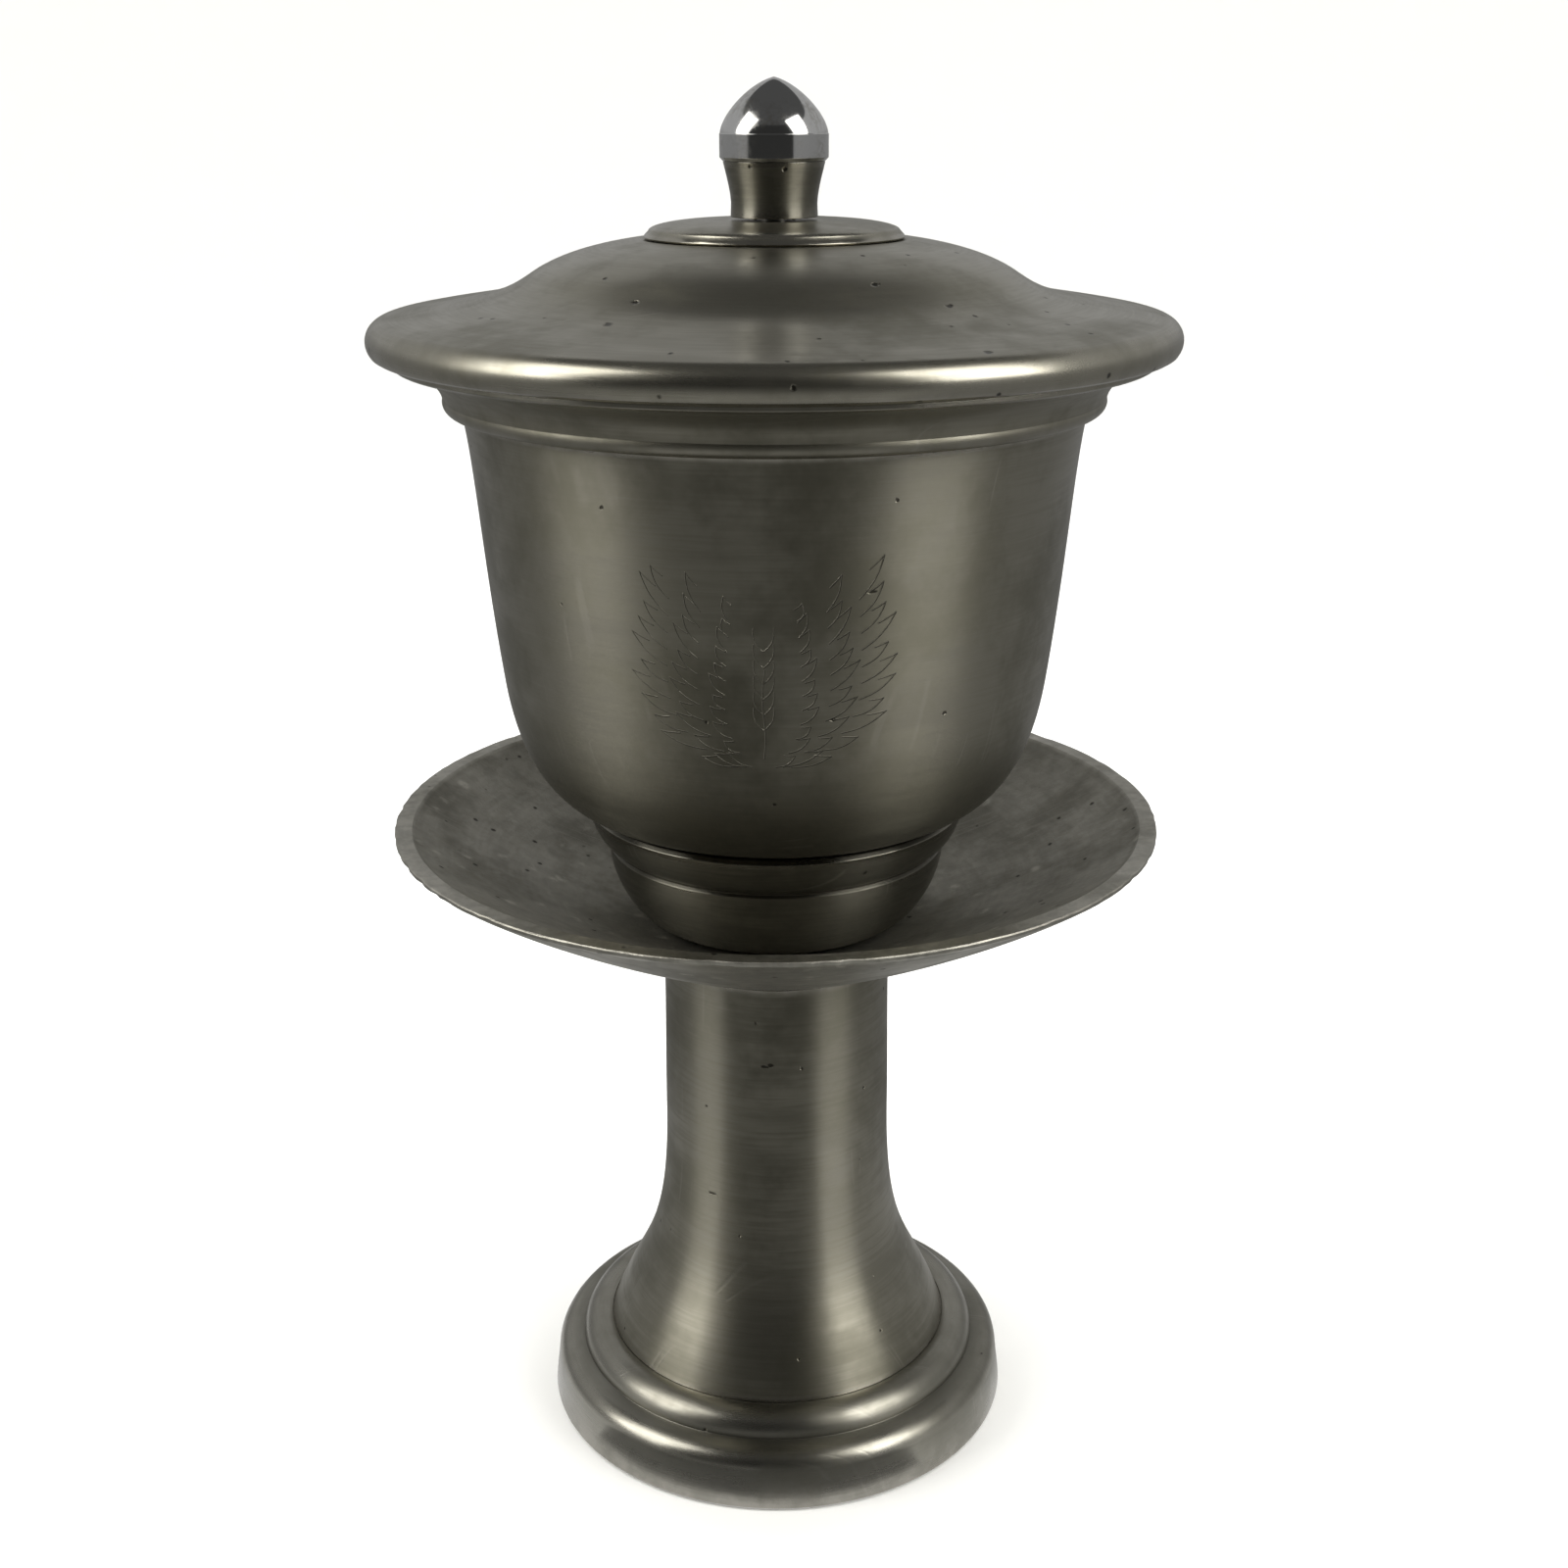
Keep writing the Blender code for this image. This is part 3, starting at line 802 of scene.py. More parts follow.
ENGRAVED_LIT = BrightFinish(
    "engraved_lit_side", Slot.SATIN, (0.36, 0.345, 0.29, 1.0), (0.18, 0.172, 0.14, 1.0), 0.5, 0.2)
ENGRAVED_SHADE = BrightFinish(
    "engraved_shaded_side", Slot.SATIN, (0.07, 0.067, 0.055, 1.0), (0.12, 0.115, 0.095, 1.0), 0.6, 0.2)


def spin_round(solid: bmesh.types.BMesh, outline: list, turn: float, steps: int) -> None:
    """Spin an outline about the vertical axis and merge what meets.

    Args:
        solid: The bmesh that holds the outline.
        outline: The outline's vertices and edges.
        turn: Radians that it goes through.
        steps: Number of steps of the spin.
    """
    bmesh.ops.spin(
        solid, geom=outline, cent=(0.0, 0.0, 0.0), axis=(0.0, 0.0, 1.0), angle=turn, steps=steps,
        use_merge=turn >= math.tau, use_duplicate=False)
    bmesh.ops.remove_doubles(solid, verts=solid.verts, dist=MERGE_REACH)


@dataclass
class Turning:
    """One piece turned from a section, with its marks' coordinates and its finish."""

    node: str
    body: Body
    finish: PewterFinish | BrightFinish
    section: Section
    segments: int = FINE_TURN
    knocks: float = 0.0
    knocked_width: float = 1.2
    bend_reach: float = 0.45
    wear_from: float = 0.14
    wear_gain: float = 1.3
    hollow_shade_from: float = 0.25

    def build(self) -> None:
        """Turn the section, dress it and put it in the node's place."""
        solid = bmesh.new()
        self.spin(solid)
        if self.knocks > 0.0:
            self.knock_rim(solid)
        self.lay_coordinates(solid)
        bmesh.ops.transform(solid, matrix=Matrix.Scale(MM, 4), verts=solid.verts)
        place_piece(f"{self.node}_turned", solid, self.body, self.finish, (self.node,))

    def spin(self, solid: bmesh.types.BMesh) -> None:
        """Spin the section into a closed body and mark its worn edges, and its hollows for painted shade.

        Args:
            solid: The empty bmesh that the body is made in, in millimetres.
        """
        along_layer = solid.verts.layers.float.new("along")
        wear_layer = solid.verts.layers.float.new("wear")
        hollow_shade_layer = solid.verts.layers.float.new("hollow_shade")
        section = self.section
        corners = []
        rows = zip(section.points, section.lengths(), section.bends(self.bend_reach))
        for (radius, height), along, bend in rows:
            corner = solid.verts.new((radius, 0.0, height))
            corner[along_layer] = along
            corner[wear_layer] = max(0.0, min(1.0, self.wear_gain * (bend - self.wear_from)))
            # Hollows get a mask that the finishes darken as painted shade.
            corner[hollow_shade_layer] = max(0.0, min(1.0, -bend - self.hollow_shade_from))
            corners.append(corner)
        edges = [solid.edges.new(pair) for pair in zip(corners, corners[1:])]
        if section.closed():
            edges.append(solid.edges.new((corners[-1], corners[0])))
        spin_round(solid, corners + edges, math.tau, self.segments)
        bmesh.ops.recalc_face_normals(solid, faces=solid.faces)

    def knock_rim(self, solid: bmesh.types.BMesh) -> None:
        """Push small dents into the outermost edge.

        Args:
            solid: The turned body, in millimetres.
        """
        rim = max(math.hypot(vert.co.x, vert.co.y) for vert in solid.verts)
        for vert in solid.verts:
            radius = math.hypot(vert.co.x, vert.co.y)
            near = max(0.0, 1.0 - (rim - radius) / self.knocked_width)
            broad = max(0.0, noise.noise(vert.co * 0.55) - 0.12)
            small = max(0.0, noise.noise(vert.co * 1.7) - 0.1)
            shrink = 1.0 - self.knocks * near * (broad + 0.5 * small) / max(radius, 1.0)
            vert.co.x *= shrink
            vert.co.y *= shrink

    @staticmethod
    def lay_coordinates(solid: bmesh.types.BMesh) -> None:
        """Give the piece coordinates that run round it and along its section.

        Args:
            solid: The turned body, in millimetres.
        """
        layer = solid.loops.layers.uv.new(UV_NAME)
        along_layer = solid.verts.layers.float["along"]
        for face in solid.faces:
            centre = face.calc_center_median()
            middle = math.atan2(centre.y, centre.x) / math.tau
            for loop in face.loops:
                spot = loop.vert.co
                turn = middle
                if math.hypot(spot.x, spot.y) > ON_AXIS:
                    turn = math.atan2(spot.y, spot.x) / math.tau
                turn -= round(turn - middle)
                loop[layer].uv = (turn, loop.vert[along_layer] * UV_PER_MM)


def place_piece(name: str, solid: bmesh.types.BMesh, body: Body, finish: PewterFinish | BrightFinish,
                nodes: tuple[str, ...]) -> bpy.types.Object:
    """Make an object of a finished bmesh and set it on its body.

    Args:
        name: The piece's name.
        solid: Its mesh, in metres and in place.
        body: The body that carries it.
        finish: Its finish, which knows the record's material slot.
        nodes: The frame's nodes that it stands for.

    Returns:
        The placed object.
    """
    mesh = bpy.data.meshes.new(name)
    solid.to_mesh(mesh)
    solid.free()
    mesh.shade_smooth()
    mesh.materials.append(finish.material())
    piece = bpy.data.objects.new(name, mesh)
    bpy.context.scene.collection.objects.link(piece)
    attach(piece, body.value)
    if nodes:
        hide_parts(*nodes)
    log.info("%s rides on %s, %d faces", name, body.value, len(mesh.polygons))
    return piece


@dataclass
class Fastening:
    """A threaded stud with the washer and nut that pull two pieces together."""

    body: Body
    stud: str
    washer: str
    nut: str
    thread_pitch: float = 0.7
    thread_depth: float = 0.3
    thread_lead: float = 0.35
    thread_rise: float = 0.3
    thread_crest: float = 0.1
    end_bevel: float = 0.1
    washer_round: float = 0.15
    nut_bevel: float = 0.18

    def build(self) -> None:
        """Build the stud, the washer and the nut."""
        Turning(self.stud, self.body, STEEL, self.stud_section(), SMALL_TURN).build()
        Turning(self.washer, self.body, STEEL, self.washer_section(), SMALL_TURN).build()
        self.build_nut()

    def stud_section(self) -> Section:
        """Return the stud's outline, with a ridge for each turn of its thread.

        Returns:
            The outline, ready to turn.
        """
        span = Span.of(self.stud)
        core = span.radius - self.thread_depth
        section = Section([(0.0, span.bottom), (core - self.end_bevel, span.bottom)])
        turns = int((span.top - span.bottom - self.thread_pitch) / self.thread_pitch)
        for turn in range(turns):
            start = span.bottom + self.thread_lead + turn * self.thread_pitch
            crest = start + self.thread_rise
            section.to((core, start), (span.radius, crest), (span.radius, crest + self.thread_crest))
        return section.to((core - self.end_bevel, span.top), (0.0, span.top))

    def washer_section(self) -> Section:
        """Return the washer's outline.

        Returns:
            The outline, ready to turn.
        """
        span = Span.of(self.washer)
        section = Section([(BORE, span.bottom), (span.radius, span.bottom), (span.radius, span.top)])
        return section.to((BORE, span.top)).softened(self.washer_round)

    def build_nut(self) -> None:
        """Build the hexagonal nut, bevelled at its corners, with a round bore."""
        low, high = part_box(self.nut)
        solid = bmesh.new()
        hexagon = bmesh.ops.create_circle(solid, segments=6, radius=high.x)["verts"]
        outer = list({edge for vert in hexagon for edge in vert.link_edges})
        bmesh.ops.subdivide_edges(solid, edges=outer, cuts=5)
        outer = list(solid.edges)
        ring = bmesh.ops.create_circle(solid, segments=SMALL_TURN // 2, radius=BORE * MM)["verts"]
        inner = list({edge for vert in ring for edge in vert.link_edges})
        faces = bmesh.ops.bridge_loops(solid, edges=outer + inner)["faces"]
        thick = bmesh.ops.extrude_face_region(solid, geom=faces, use_keep_orig=True)
        raised = [item for item in thick["geom"] if isinstance(item, bmesh.types.BMVert)]
        bmesh.ops.translate(solid, verts=raised, vec=(0.0, 0.0, high.z - low.z))
        bmesh.ops.translate(solid, verts=solid.verts, vec=(0.0, 0.0, low.z))
        bmesh.ops.recalc_face_normals(solid, faces=solid.faces)
        sharp = [edge for edge in solid.edges if edge.calc_face_angle(0.0) > math.radians(40.0)]
        bmesh.ops.bevel(
            solid, geom=sharp, offset=self.nut_bevel * MM, affect="EDGES", segments=2, profile=0.5,
            material=-1)
        solid.loops.layers.uv.new(UV_NAME)
        piece = place_piece(f"{self.nut}_turned", solid, self.body, STEEL, (self.nut,))
        piece.data.set_sharp_from_angle(angle=math.radians(35.0))


@dataclass
class Stand:
    """The stepped base, the waisted stem and the saucer on top of it."""

    side_taper: float = 0.54
    foot_bevel: float = 0.45
    shoulder_round: float = 2.23
    shoulder_height: float = 4.86
    step_inset: float = 3.5
    step_height: float = 7.2
    bead_round: float = 2.75
    bead_inset: float = 6.57
    seat_radius: float = 18.9
    seat_height: float = 9.66
    mouth_height: float = 6.5
    hollow_inset: float = 2.67
    hollow_height: float = 2.4
    spigot_radius: float = 18.6
    flare_drop: float = 0.25
    waist: Point = (13.87, 39.4)
    recess_radius: float = 8.4
    recess_depth: float = 1.5
    end_wall: float = 2.0
    bore_radius: float = 11.3
    well_level: float = 65.7
    well_floor: float = 1.7
    boss_radius: float = 8.1
    rim_width: float = 2.0
    knocks: float = 0.45
    edge_round: float = 0.18
    rim_round: float = 0.08

    def build(self) -> None:
        """Build every piece of the stand."""
        Turning("base_foot", Body.STAND, BASE_SATIN, self.base_section()).build()
        Turning("pedestal_stem", Body.STAND, BRUSHED, self.stem_section()).build()
        Turning("saucer_dish", Body.STAND, CAST, self.saucer_section(), knocks=self.knocks).build()
        Fastening(Body.STAND, "saucer_stud", "stem_washer", "stem_nut").build()

    def base_section(self) -> Section:
        """Return the base ring's outline: rounded shoulder, step, bead and stem seat.

        Returns:
            The outline, ready to turn.
        """
        span = Span.of("base_foot")
        low, rim = span.bottom, span.radius
        seat = low + self.seat_height
        mouth = (self.seat_radius, low + self.mouth_height)
        hollow = rim - self.hollow_inset
        shoulder = (rim - self.side_taper - self.shoulder_round, low + self.shoulder_height)
        bead = (rim - self.bead_inset, span.top - self.bead_round)
        section = Section([(hollow, low), (rim - self.foot_bevel, low), (rim, low + self.foot_bevel)])
        section.arc(shoulder, self.shoulder_round, 0.0, 78.0, 16)
        section.to((rim - self.step_inset, low + self.step_height))
        section.to((bead[0] + self.bead_round - 0.02, low + self.step_height + 0.12))
        section.arc(bead, self.bead_round, 6.0, 111.0, 20)
        section.to((21.46, seat), (self.seat_radius, seat), mouth)
        section.curve(mouth, (23.6, 5.9), (26.2, 4.8), (hollow, low + self.hollow_height), 14)
        return section.softened(self.edge_round)

    def stem_section(self) -> Section:
        """Return the stem's outline: spigot, flare, waist, end wall and bore.

        Returns:
            The outline, ready to turn.
        """
        span = Span.of("pedestal_stem")
        seat = Span.of("base_foot").top - self.flare_drop
        low, top, flare, spigot = span.bottom, span.top, span.radius, self.spigot_radius
        waist = self.waist
        recess = top - self.recess_depth
        ceiling = recess - self.end_wall
        section = Section([(17.0, low), (spigot - 0.3, low), (spigot, low + 0.3), (spigot, seat)])
        section.to((flare - 0.06, seat))
        section.curve((flare, seat + 0.08), (18.14, 19.21), (waist[0], 19.38), waist, 40)
        section.curve(waist, (waist[0], 47.4), (13.65, 53.1), (13.72, top - 0.2), 24)
        section.to((13.52, top), (self.recess_radius, top), (self.recess_radius, recess))
        section.to((BORE, recess), (BORE, ceiling), (self.bore_radius - 0.8, ceiling))
        section.to((self.bore_radius, ceiling - 0.8))
        section.curve((self.bore_radius, 38.0), (self.bore_radius, 24.0), (15.4, 17.0), (17.0, 13.0), 20)
        return section.softened(self.edge_round)

    def saucer_section(self) -> Section:
        """Return the saucer's outline: boss, shallow bowl and narrow flat rim.

        Returns:
            The outline, ready to turn.
        """
        span = Span.of("saucer_dish")
        low, top, rim = span.bottom, span.top, span.radius
        boss = Span.of("pedestal_stem").top + SEAM
        well = self.well_level
        floor = well - self.well_floor
        section = Section([(0.0, floor), (BORE, floor), (BORE, low), (self.boss_radius, low)])
        section.to((self.boss_radius, boss))
        section.curve((13.75, boss), (19.72, boss + 2.13), (37.42, 72.56), (rim - 0.02, top - 0.5), 34)
        section.to((rim, top - 0.14), (rim - 0.14, top), (rim - self.rim_width, top - 0.02))
        edge = (rim - self.rim_width - 0.35, top - 0.42)
        section.curve(edge, (36.9, 74.4), (21.5, 66.4), (15.2, well), 34)
        return section.to((0.0, well)).softened(self.rim_round)


@dataclass
class Cup:
    """The hollow foot, the bell-shaped bowl, the lip moulding and the engraved spray."""

    wall: float = 2.0
    groove_radius: float = 19.66
    groove_height: float = 9.3
    hollow_radius: float = 11.6
    hollow_height: float = 2.2
    waist: Point = (31.33, 96.12)
    collar_radius: float = 33.6
    mouth_radius: float = 32.3
    inner_waist: Point = (29.4, 96.3)
    bead_radius: float = 35.6
    bead_round: float = 1.1
    lip_bore: float = 33.9
    throat_radius: float = 32.4
    edge_round: float = 0.15

    def build(self) -> None:
        """Build every piece of the cup."""
        bowl = self.bowl_section()
        Turning("cup_foot", Body.CUP, FOOT_BRUSHED_PAINTED_SHADE, self.foot_section()).build()
        Turning("cup_bowl", Body.CUP, SATIN, bowl).build()
        Turning("cup_lip", Body.CUP, LIP_SATIN, self.lip_section()).build()
        EngravedSpray(bowl).build()

    def foot_section(self) -> Section:
        """Return the foot's outline: lower ring, turned groove and flare to the bowl.

        Returns:
            The outline, ready to turn.
        """
        span = Span.of("cup_foot")
        low, rim = span.bottom, span.radius
        roof = span.top - 0.2
        hollow = (self.hollow_radius, low + self.hollow_height)
        groove, level = self.groove_radius, low + self.groove_height
        section = Section([(self.hollow_radius, low)])
        section.curve((14.08, low), (17.02, low + 0.07), (20.0, low + 5.5), (19.93, level - 0.25), 26)
        section.to((groove, level), (groove, level + 0.1))
        section.curve((groove + 0.14, level + 0.35), (20.9, 76.1), (22.0, 77.84), (rim - 0.1, 79.9), 16)
        section.to((rim - 0.5, span.top - 0.05), (20.13, roof))
        section.curve((16.9, roof), (17.6, 73.5), (17.2, 69.0), hollow, 18)
        return section.softened(self.edge_round)

    def bowl_section(self) -> Section:
        """Return the bowl's outline: floor, belly, wall, collar and inside.

        Returns:
            The outline, ready to turn.
        """
        span = Span.of("cup_bowl")
        low = span.bottom
        top = Span.of("cup_lip").bottom
        floor = low + self.wall
        section = Section([(0.0, low)])
        section.curve((20.13, low), (27.45, 81.36), (30.31, 88.41), self.waist, 40)
        section.curve(self.waist, (33.18, 110.12), (33.57, 121.64), (span.radius, top), 44)
        section.to((self.collar_radius, top), (self.collar_radius, span.top), (self.mouth_radius, span.top))
        section.curve((self.mouth_radius, top - 0.6), (31.9, 121.0), (31.3, 110.0), self.inner_waist, 26)
        section.curve(self.inner_waist, (28.5, 89.6), (26.0, 83.3), (19.5, floor), 26)
        return section.to((0.0, floor)).softened(self.edge_round)

    def lip_section(self) -> Section:
        """Return the lip's outline: bead, cove and thin overhanging edge.

        Returns:
            The outline, ready to turn.
        """
        span = Span.of("cup_lip")
        low, top, edge = span.bottom, span.top, span.radius
        shelf = Span.of("cup_bowl").top + GAP
        section = Section([(self.lip_bore, low + 0.12), (self.lip_bore + 1.0, low + 0.12)])
        section.arc((self.bead_radius, low + 1.06), self.bead_round, -88.0, 22.0, 16)
        section.curve((36.7, 128.5), (37.2, 130.4), (39.2, 131.3), (edge - 0.35, 131.85), 24)
        section.to((edge, 132.1), (edge, top - 0.2), (edge - 0.2, top))
        section.curve((38.9, top), (36.2, 132.5), (33.6, 131.9), (self.throat_radius, 130.5), 14)
        return section.to((self.throat_radius, shelf), (self.lip_bore, shelf)).softened(self.edge_round)


@dataclass
class EngravedSpray:
    """A leaf wreath with an ear of grain in it, scratched on the front of the bowl in hairlines."""

    bowl: Section
    centre_height: float = 104.2
    sideways: float = -1.1
    half_width: float = 10.8
    half_height: float = 11.0
    leaf_length: float = 4.5
    leaf_width: float = 0.42
    leaves: int = 11
    leaf_steps: int = 8
    rows: tuple[Point, ...] = ((0.0, 1.0), (3.3, 0.85), (6.2, 0.55))
    top_heading: float = 60.0
    heading_fall: float = 46.0
    row_lift: float = 9.0
    ear_foot: float = 5.8
    ear_spacing: float = 1.7
    ear_leaf: float = 2.7
    ear_splay: float = 22.0
    hairline: float = 0.034
    shade_offset: float = 0.07

    def build(self) -> None:
        """Draw every stroke on the bowl, once for its lit side and once for its shaded side."""
        strokes: list[list[Point]] = []
        for side in (-1.0, 1.0):
            strokes += self.wing(side)
        strokes += self.ear()
        self.scratch("engraved_spray_lit", strokes, 0.0, ENGRAVED_LIT)
        self.scratch("engraved_spray_shade", strokes, self.shade_offset, ENGRAVED_SHADE)

    def scratch(self, name: str, strokes: list[list[Point]], shift: float, finish: BrightFinish) -> None:
        """Lay strokes on the bowl as one mesh of hairlines.

        Args:
            name: The piece's name.
            strokes: Runs of points in the flat drawing.
            shift: Millimetres that the strokes are moved down and to the right.
            finish: The finish of the hairlines.
        """
        curve = bpy.data.curves.new(name, "CURVE")
        curve.dimensions = "3D"
        curve.bevel_depth = self.hairline * MM
        curve.bevel_resolution = 1
        curve.use_fill_caps = True
        for stroke in strokes:
            spline = curve.splines.new("POLY")
            spline.points.add(len(stroke) - 1)
            for point, (across, up) in zip(spline.points, stroke):
                point.co = (*self.on_bowl((across + shift, up - shift)), 1.0)
        drawn = bpy.data.objects.new(f"{name}_line", curve)
        solid = bmesh.new()
        bpy.context.scene.collection.objects.link(drawn)
        graph = bpy.context.evaluated_depsgraph_get()
        solid.from_mesh(drawn.evaluated_get(graph).to_mesh())
        bpy.data.objects.remove(drawn, do_unlink=True)
        bmesh.ops.recalc_face_normals(solid, faces=solid.faces)
        solid.loops.layers.uv.verify()
        place_piece(name, solid, Body.CUP, finish, ())

    def on_bowl(self, spot: Point) -> Spot:
        """Wrap a point of the flat drawing onto the bowl.

        Args:
            spot: Millimetres right of and above the drawing's centre.

        Returns:
            The point on the bowl's skin, in metres.
        """
        height = self.centre_height + spot[1]
        radius = self.bowl.radius_at(height)
        angle = (spot[0] + self.sideways) / radius
        return (radius * math.sin(angle) * MM, -radius * math.cos(angle) * MM, height * MM)

    def wing(self, side: float) -> list[list[Point]]:
        """Draw one half of the wreath: rows of narrow leaves, smaller towards the middle.

        Args:
            side: -1 for the left half, 1 for the right.

        Returns:
            The strokes of its leaves.
        """
        strokes: list[list[Point]] = []
        for leaf in range(self.leaves):
            share = leaf / (self.leaves - 1)
            for row, (inset, size) in enumerate(self.rows):
                here = Vector(self.on_twig(side, share, inset))
                rise = math.radians(self.top_heading - self.heading_fall * share + self.row_lift * row)
                heading = rise if side > 0.0 else math.pi - rise
                sway = 1.0 + 0.18 * math.sin(2.4 * leaf + 1.7 * row + side)
                strokes += self.leaf(here, heading, self.leaf_length * size * sway, side)
        return strokes

    def on_twig(self, side: float, share: float, inset: float) -> Point:
        """Return a point of one row, from its top at share 0 to its bottom at 1, some way in.

        Args:
            side: -1 for the left row, 1 for the right one.
            share: Place along the row.
            inset: How far in the point lies, in mm.

        Returns:
            The point in mm across and up.
        """
        across = (self.half_width - inset) * (1.0 - 0.75 * share ** 5) - 1.2 * (1.0 - share)
        up = self.half_height * (0.72 - 1.62 * share) - 0.35 * inset * (1.0 - share)
        return (side * across, up)

    def leaf(self, base: Vector, heading: float, length: float, side: float) -> list[list[Point]]:
        """Draw a narrow leaf as one long curved stroke and one short stroke that meets its tip.

        Args:
            base: Where the leaf starts.
            heading: Its direction, in radians.
            length: Its length in millimetres.
            side: -1 or 1, the side that it curls to.

        Returns:
            Two strokes.
        """
        along = Vector((math.cos(heading), math.sin(heading)))
        across = Vector((-along.y, along.x)) * side
        long_stroke = []
        short_stroke = []
        for step in range(self.leaf_steps + 1):
            t = step / self.leaf_steps
            sag = math.sin(math.pi * t) * self.leaf_width
            long_stroke.append(tuple(base + along * length * t - across * sag))
            lift = self.leaf_width * 1.5 * t ** 1.3
            short_stroke.append(tuple(base + along * length * (1.0 - 0.4 * t) + across * lift))
        return [long_stroke, short_stroke]

    def ear(self) -> list[list[Point]]:
        """Draw the ear of grain that stands inside the wreath.

        Returns:
            The strokes of the stalk and the grains, in mm.
        """
        strokes = [[(0.15 * math.sin(step), -self.half_height + 2.0 + step * 1.4) for step in range(8)]]
        for pair in range(6):
            base = Vector((0.0, pair * self.ear_spacing - self.ear_foot))
            for side in (-1.0, 1.0):
                heading = math.radians(90.0 - side * self.ear_splay)
                strokes += self.leaf(base, heading, self.ear_leaf, side)[:1]
        return strokes


@dataclass
class Lid:
    """The domed lid, its crown disc, its locating ring and its finial."""

    brim_round: float = 2.23
    crown_seat: float = 14.45
    shoulder: Point = (26.6, 140.98)
    hip: Point = (33.0, 138.3)
    shell_wall: float = 1.98
    ring_inside: float = 30.2
    neck_foot: float = 4.73
    band_top: float = 155.4
    socket_top: float = 156.5
    edge_round: float = 0.15
    tip_round: float = 0.05

    def build(self) -> None:
        """Build every piece of the lid."""
        Turning("lid_shell", Body.LID, LID_SATIN, self.shell_section()).build()
        Turning("lid_crown", Body.LID, LID_SATIN, self.crown_section()).build()
        Turning("lid_locating_ring", Body.LID, CAST, self.ring_section()).build()
        Turning("finial_neck", Body.LID, NECK_BRUSHED, self.neck_section(), MEDIUM_TURN).build()
        Turning("finial_head", Body.LID, MIRROR, self.head_section(), MEDIUM_TURN).build()
        Fastening(Body.LID, "finial_stud", "finial_washer", "finial_nut").build()

    def shell_section(self) -> Section:
        """Return the lid's outline: seat, dome, sloping brim, thick edge and hollow underside.

        Returns:
            The outline, ready to turn.
        """
        span = Span.of("lid_shell")
        ring = Span.of("lid_locating_ring")
        land = Span.of("cup_lip").top + SEAM
        seat = Span.of("lid_crown").bottom - SEAM
        shoulder, hip = self.shoulder, self.hip
        brim = (span.radius - self.brim_round, land + 1.6)
        step = (ring.radius + GAP, ring.top + GAP)
        under = span.top - self.shell_wall
        section = Section([(BORE, seat), (self.crown_seat, seat)])
        section.curve((14.75, span.top), (20.4, 143.9), (24.2, 142.6), shoulder, 28)
        section.curve(shoulder, (28.8, 139.5), (30.3, 138.9), hip, 22)
        section.curve(hip, (35.5, 137.75), (39.5, 137.25), (42.55, 136.66), 16)
        section.arc(brim, self.brim_round, 76.0, -38.0, 22)
        section.to((43.6, land), (step[0], land), step, (29.9, step[1]))
        section.curve((29.6, 135.7), (27.0, 138.9), (22.5, 141.7), (14.0, under), 26)
        section.to((BORE, under))
        return Section(section.points[::-1]).softened(self.edge_round)

    def crown_section(self) -> Section:
        """Return the crown disc's outline: undercut side, rolled edge and shallow top.

        Returns:
            The outline, ready to turn.
        """
        span = Span.of("lid_crown")
        low, top = span.bottom, span.top
        section = Section([(BORE, low), (14.1, low)])
        section.curve((span.radius, low + 0.2), (14.05, 145.1), (13.75, 145.3), (13.65, 145.5), 10)
        section.curve((13.65, 145.5), (13.4, 145.95), (11.2, 146.36), (8.5, top), 24)
        return section.to((6.0, top), (BORE, top)).softened(self.edge_round)

    def ring_section(self) -> Section:
        """Return the locating ring's outline.

        Returns:
            The outline, ready to turn.
        """
        span = Span.of("lid_locating_ring")
        low, inner, outer = span.bottom, self.ring_inside, span.radius
        section = Section([(inner, low), (outer - 0.5, low), (outer, low + 0.6), (outer, span.top)])
        return section.to((inner, span.top)).softened(self.edge_round)

    def neck_section(self) -> Section:
        """Return the finial neck's outline, waisted above a small foot.

        Returns:
            The outline, ready to turn.
        """
        span = Span.of("finial_neck")
        low, foot = span.bottom, self.neck_foot
        top = Span.of("finial_head").bottom - SEAM / 2.0
        section = Section([(BORE, low), (foot, low), (foot, low + 0.3)])
        section.curve((4.68, 148.2), (4.75, 149.6), (5.1, 150.8), (span.radius - 0.02, top), 22)
        return section.to((BORE, top)).softened(self.edge_round)

    def head_section(self) -> Section:
        """Return the finial head's outline: polished band and acorn tip.

        Returns:
            The outline, ready to turn.
        """
        span = Span.of("finial_head")
        low, edge, band = span.bottom, span.radius, self.band_top
        section = Section([(0.0, self.socket_top), (BORE, self.socket_top), (BORE, low), (edge - 0.33, low)])
        section.to((edge, low + 0.35), (edge, band - 0.04))
        section.curve((edge - 0.06, band + 0.02), (5.6, 157.4), (2.6, 160.5), (0.0, span.top), 40)
        return section.softened(self.tip_round)


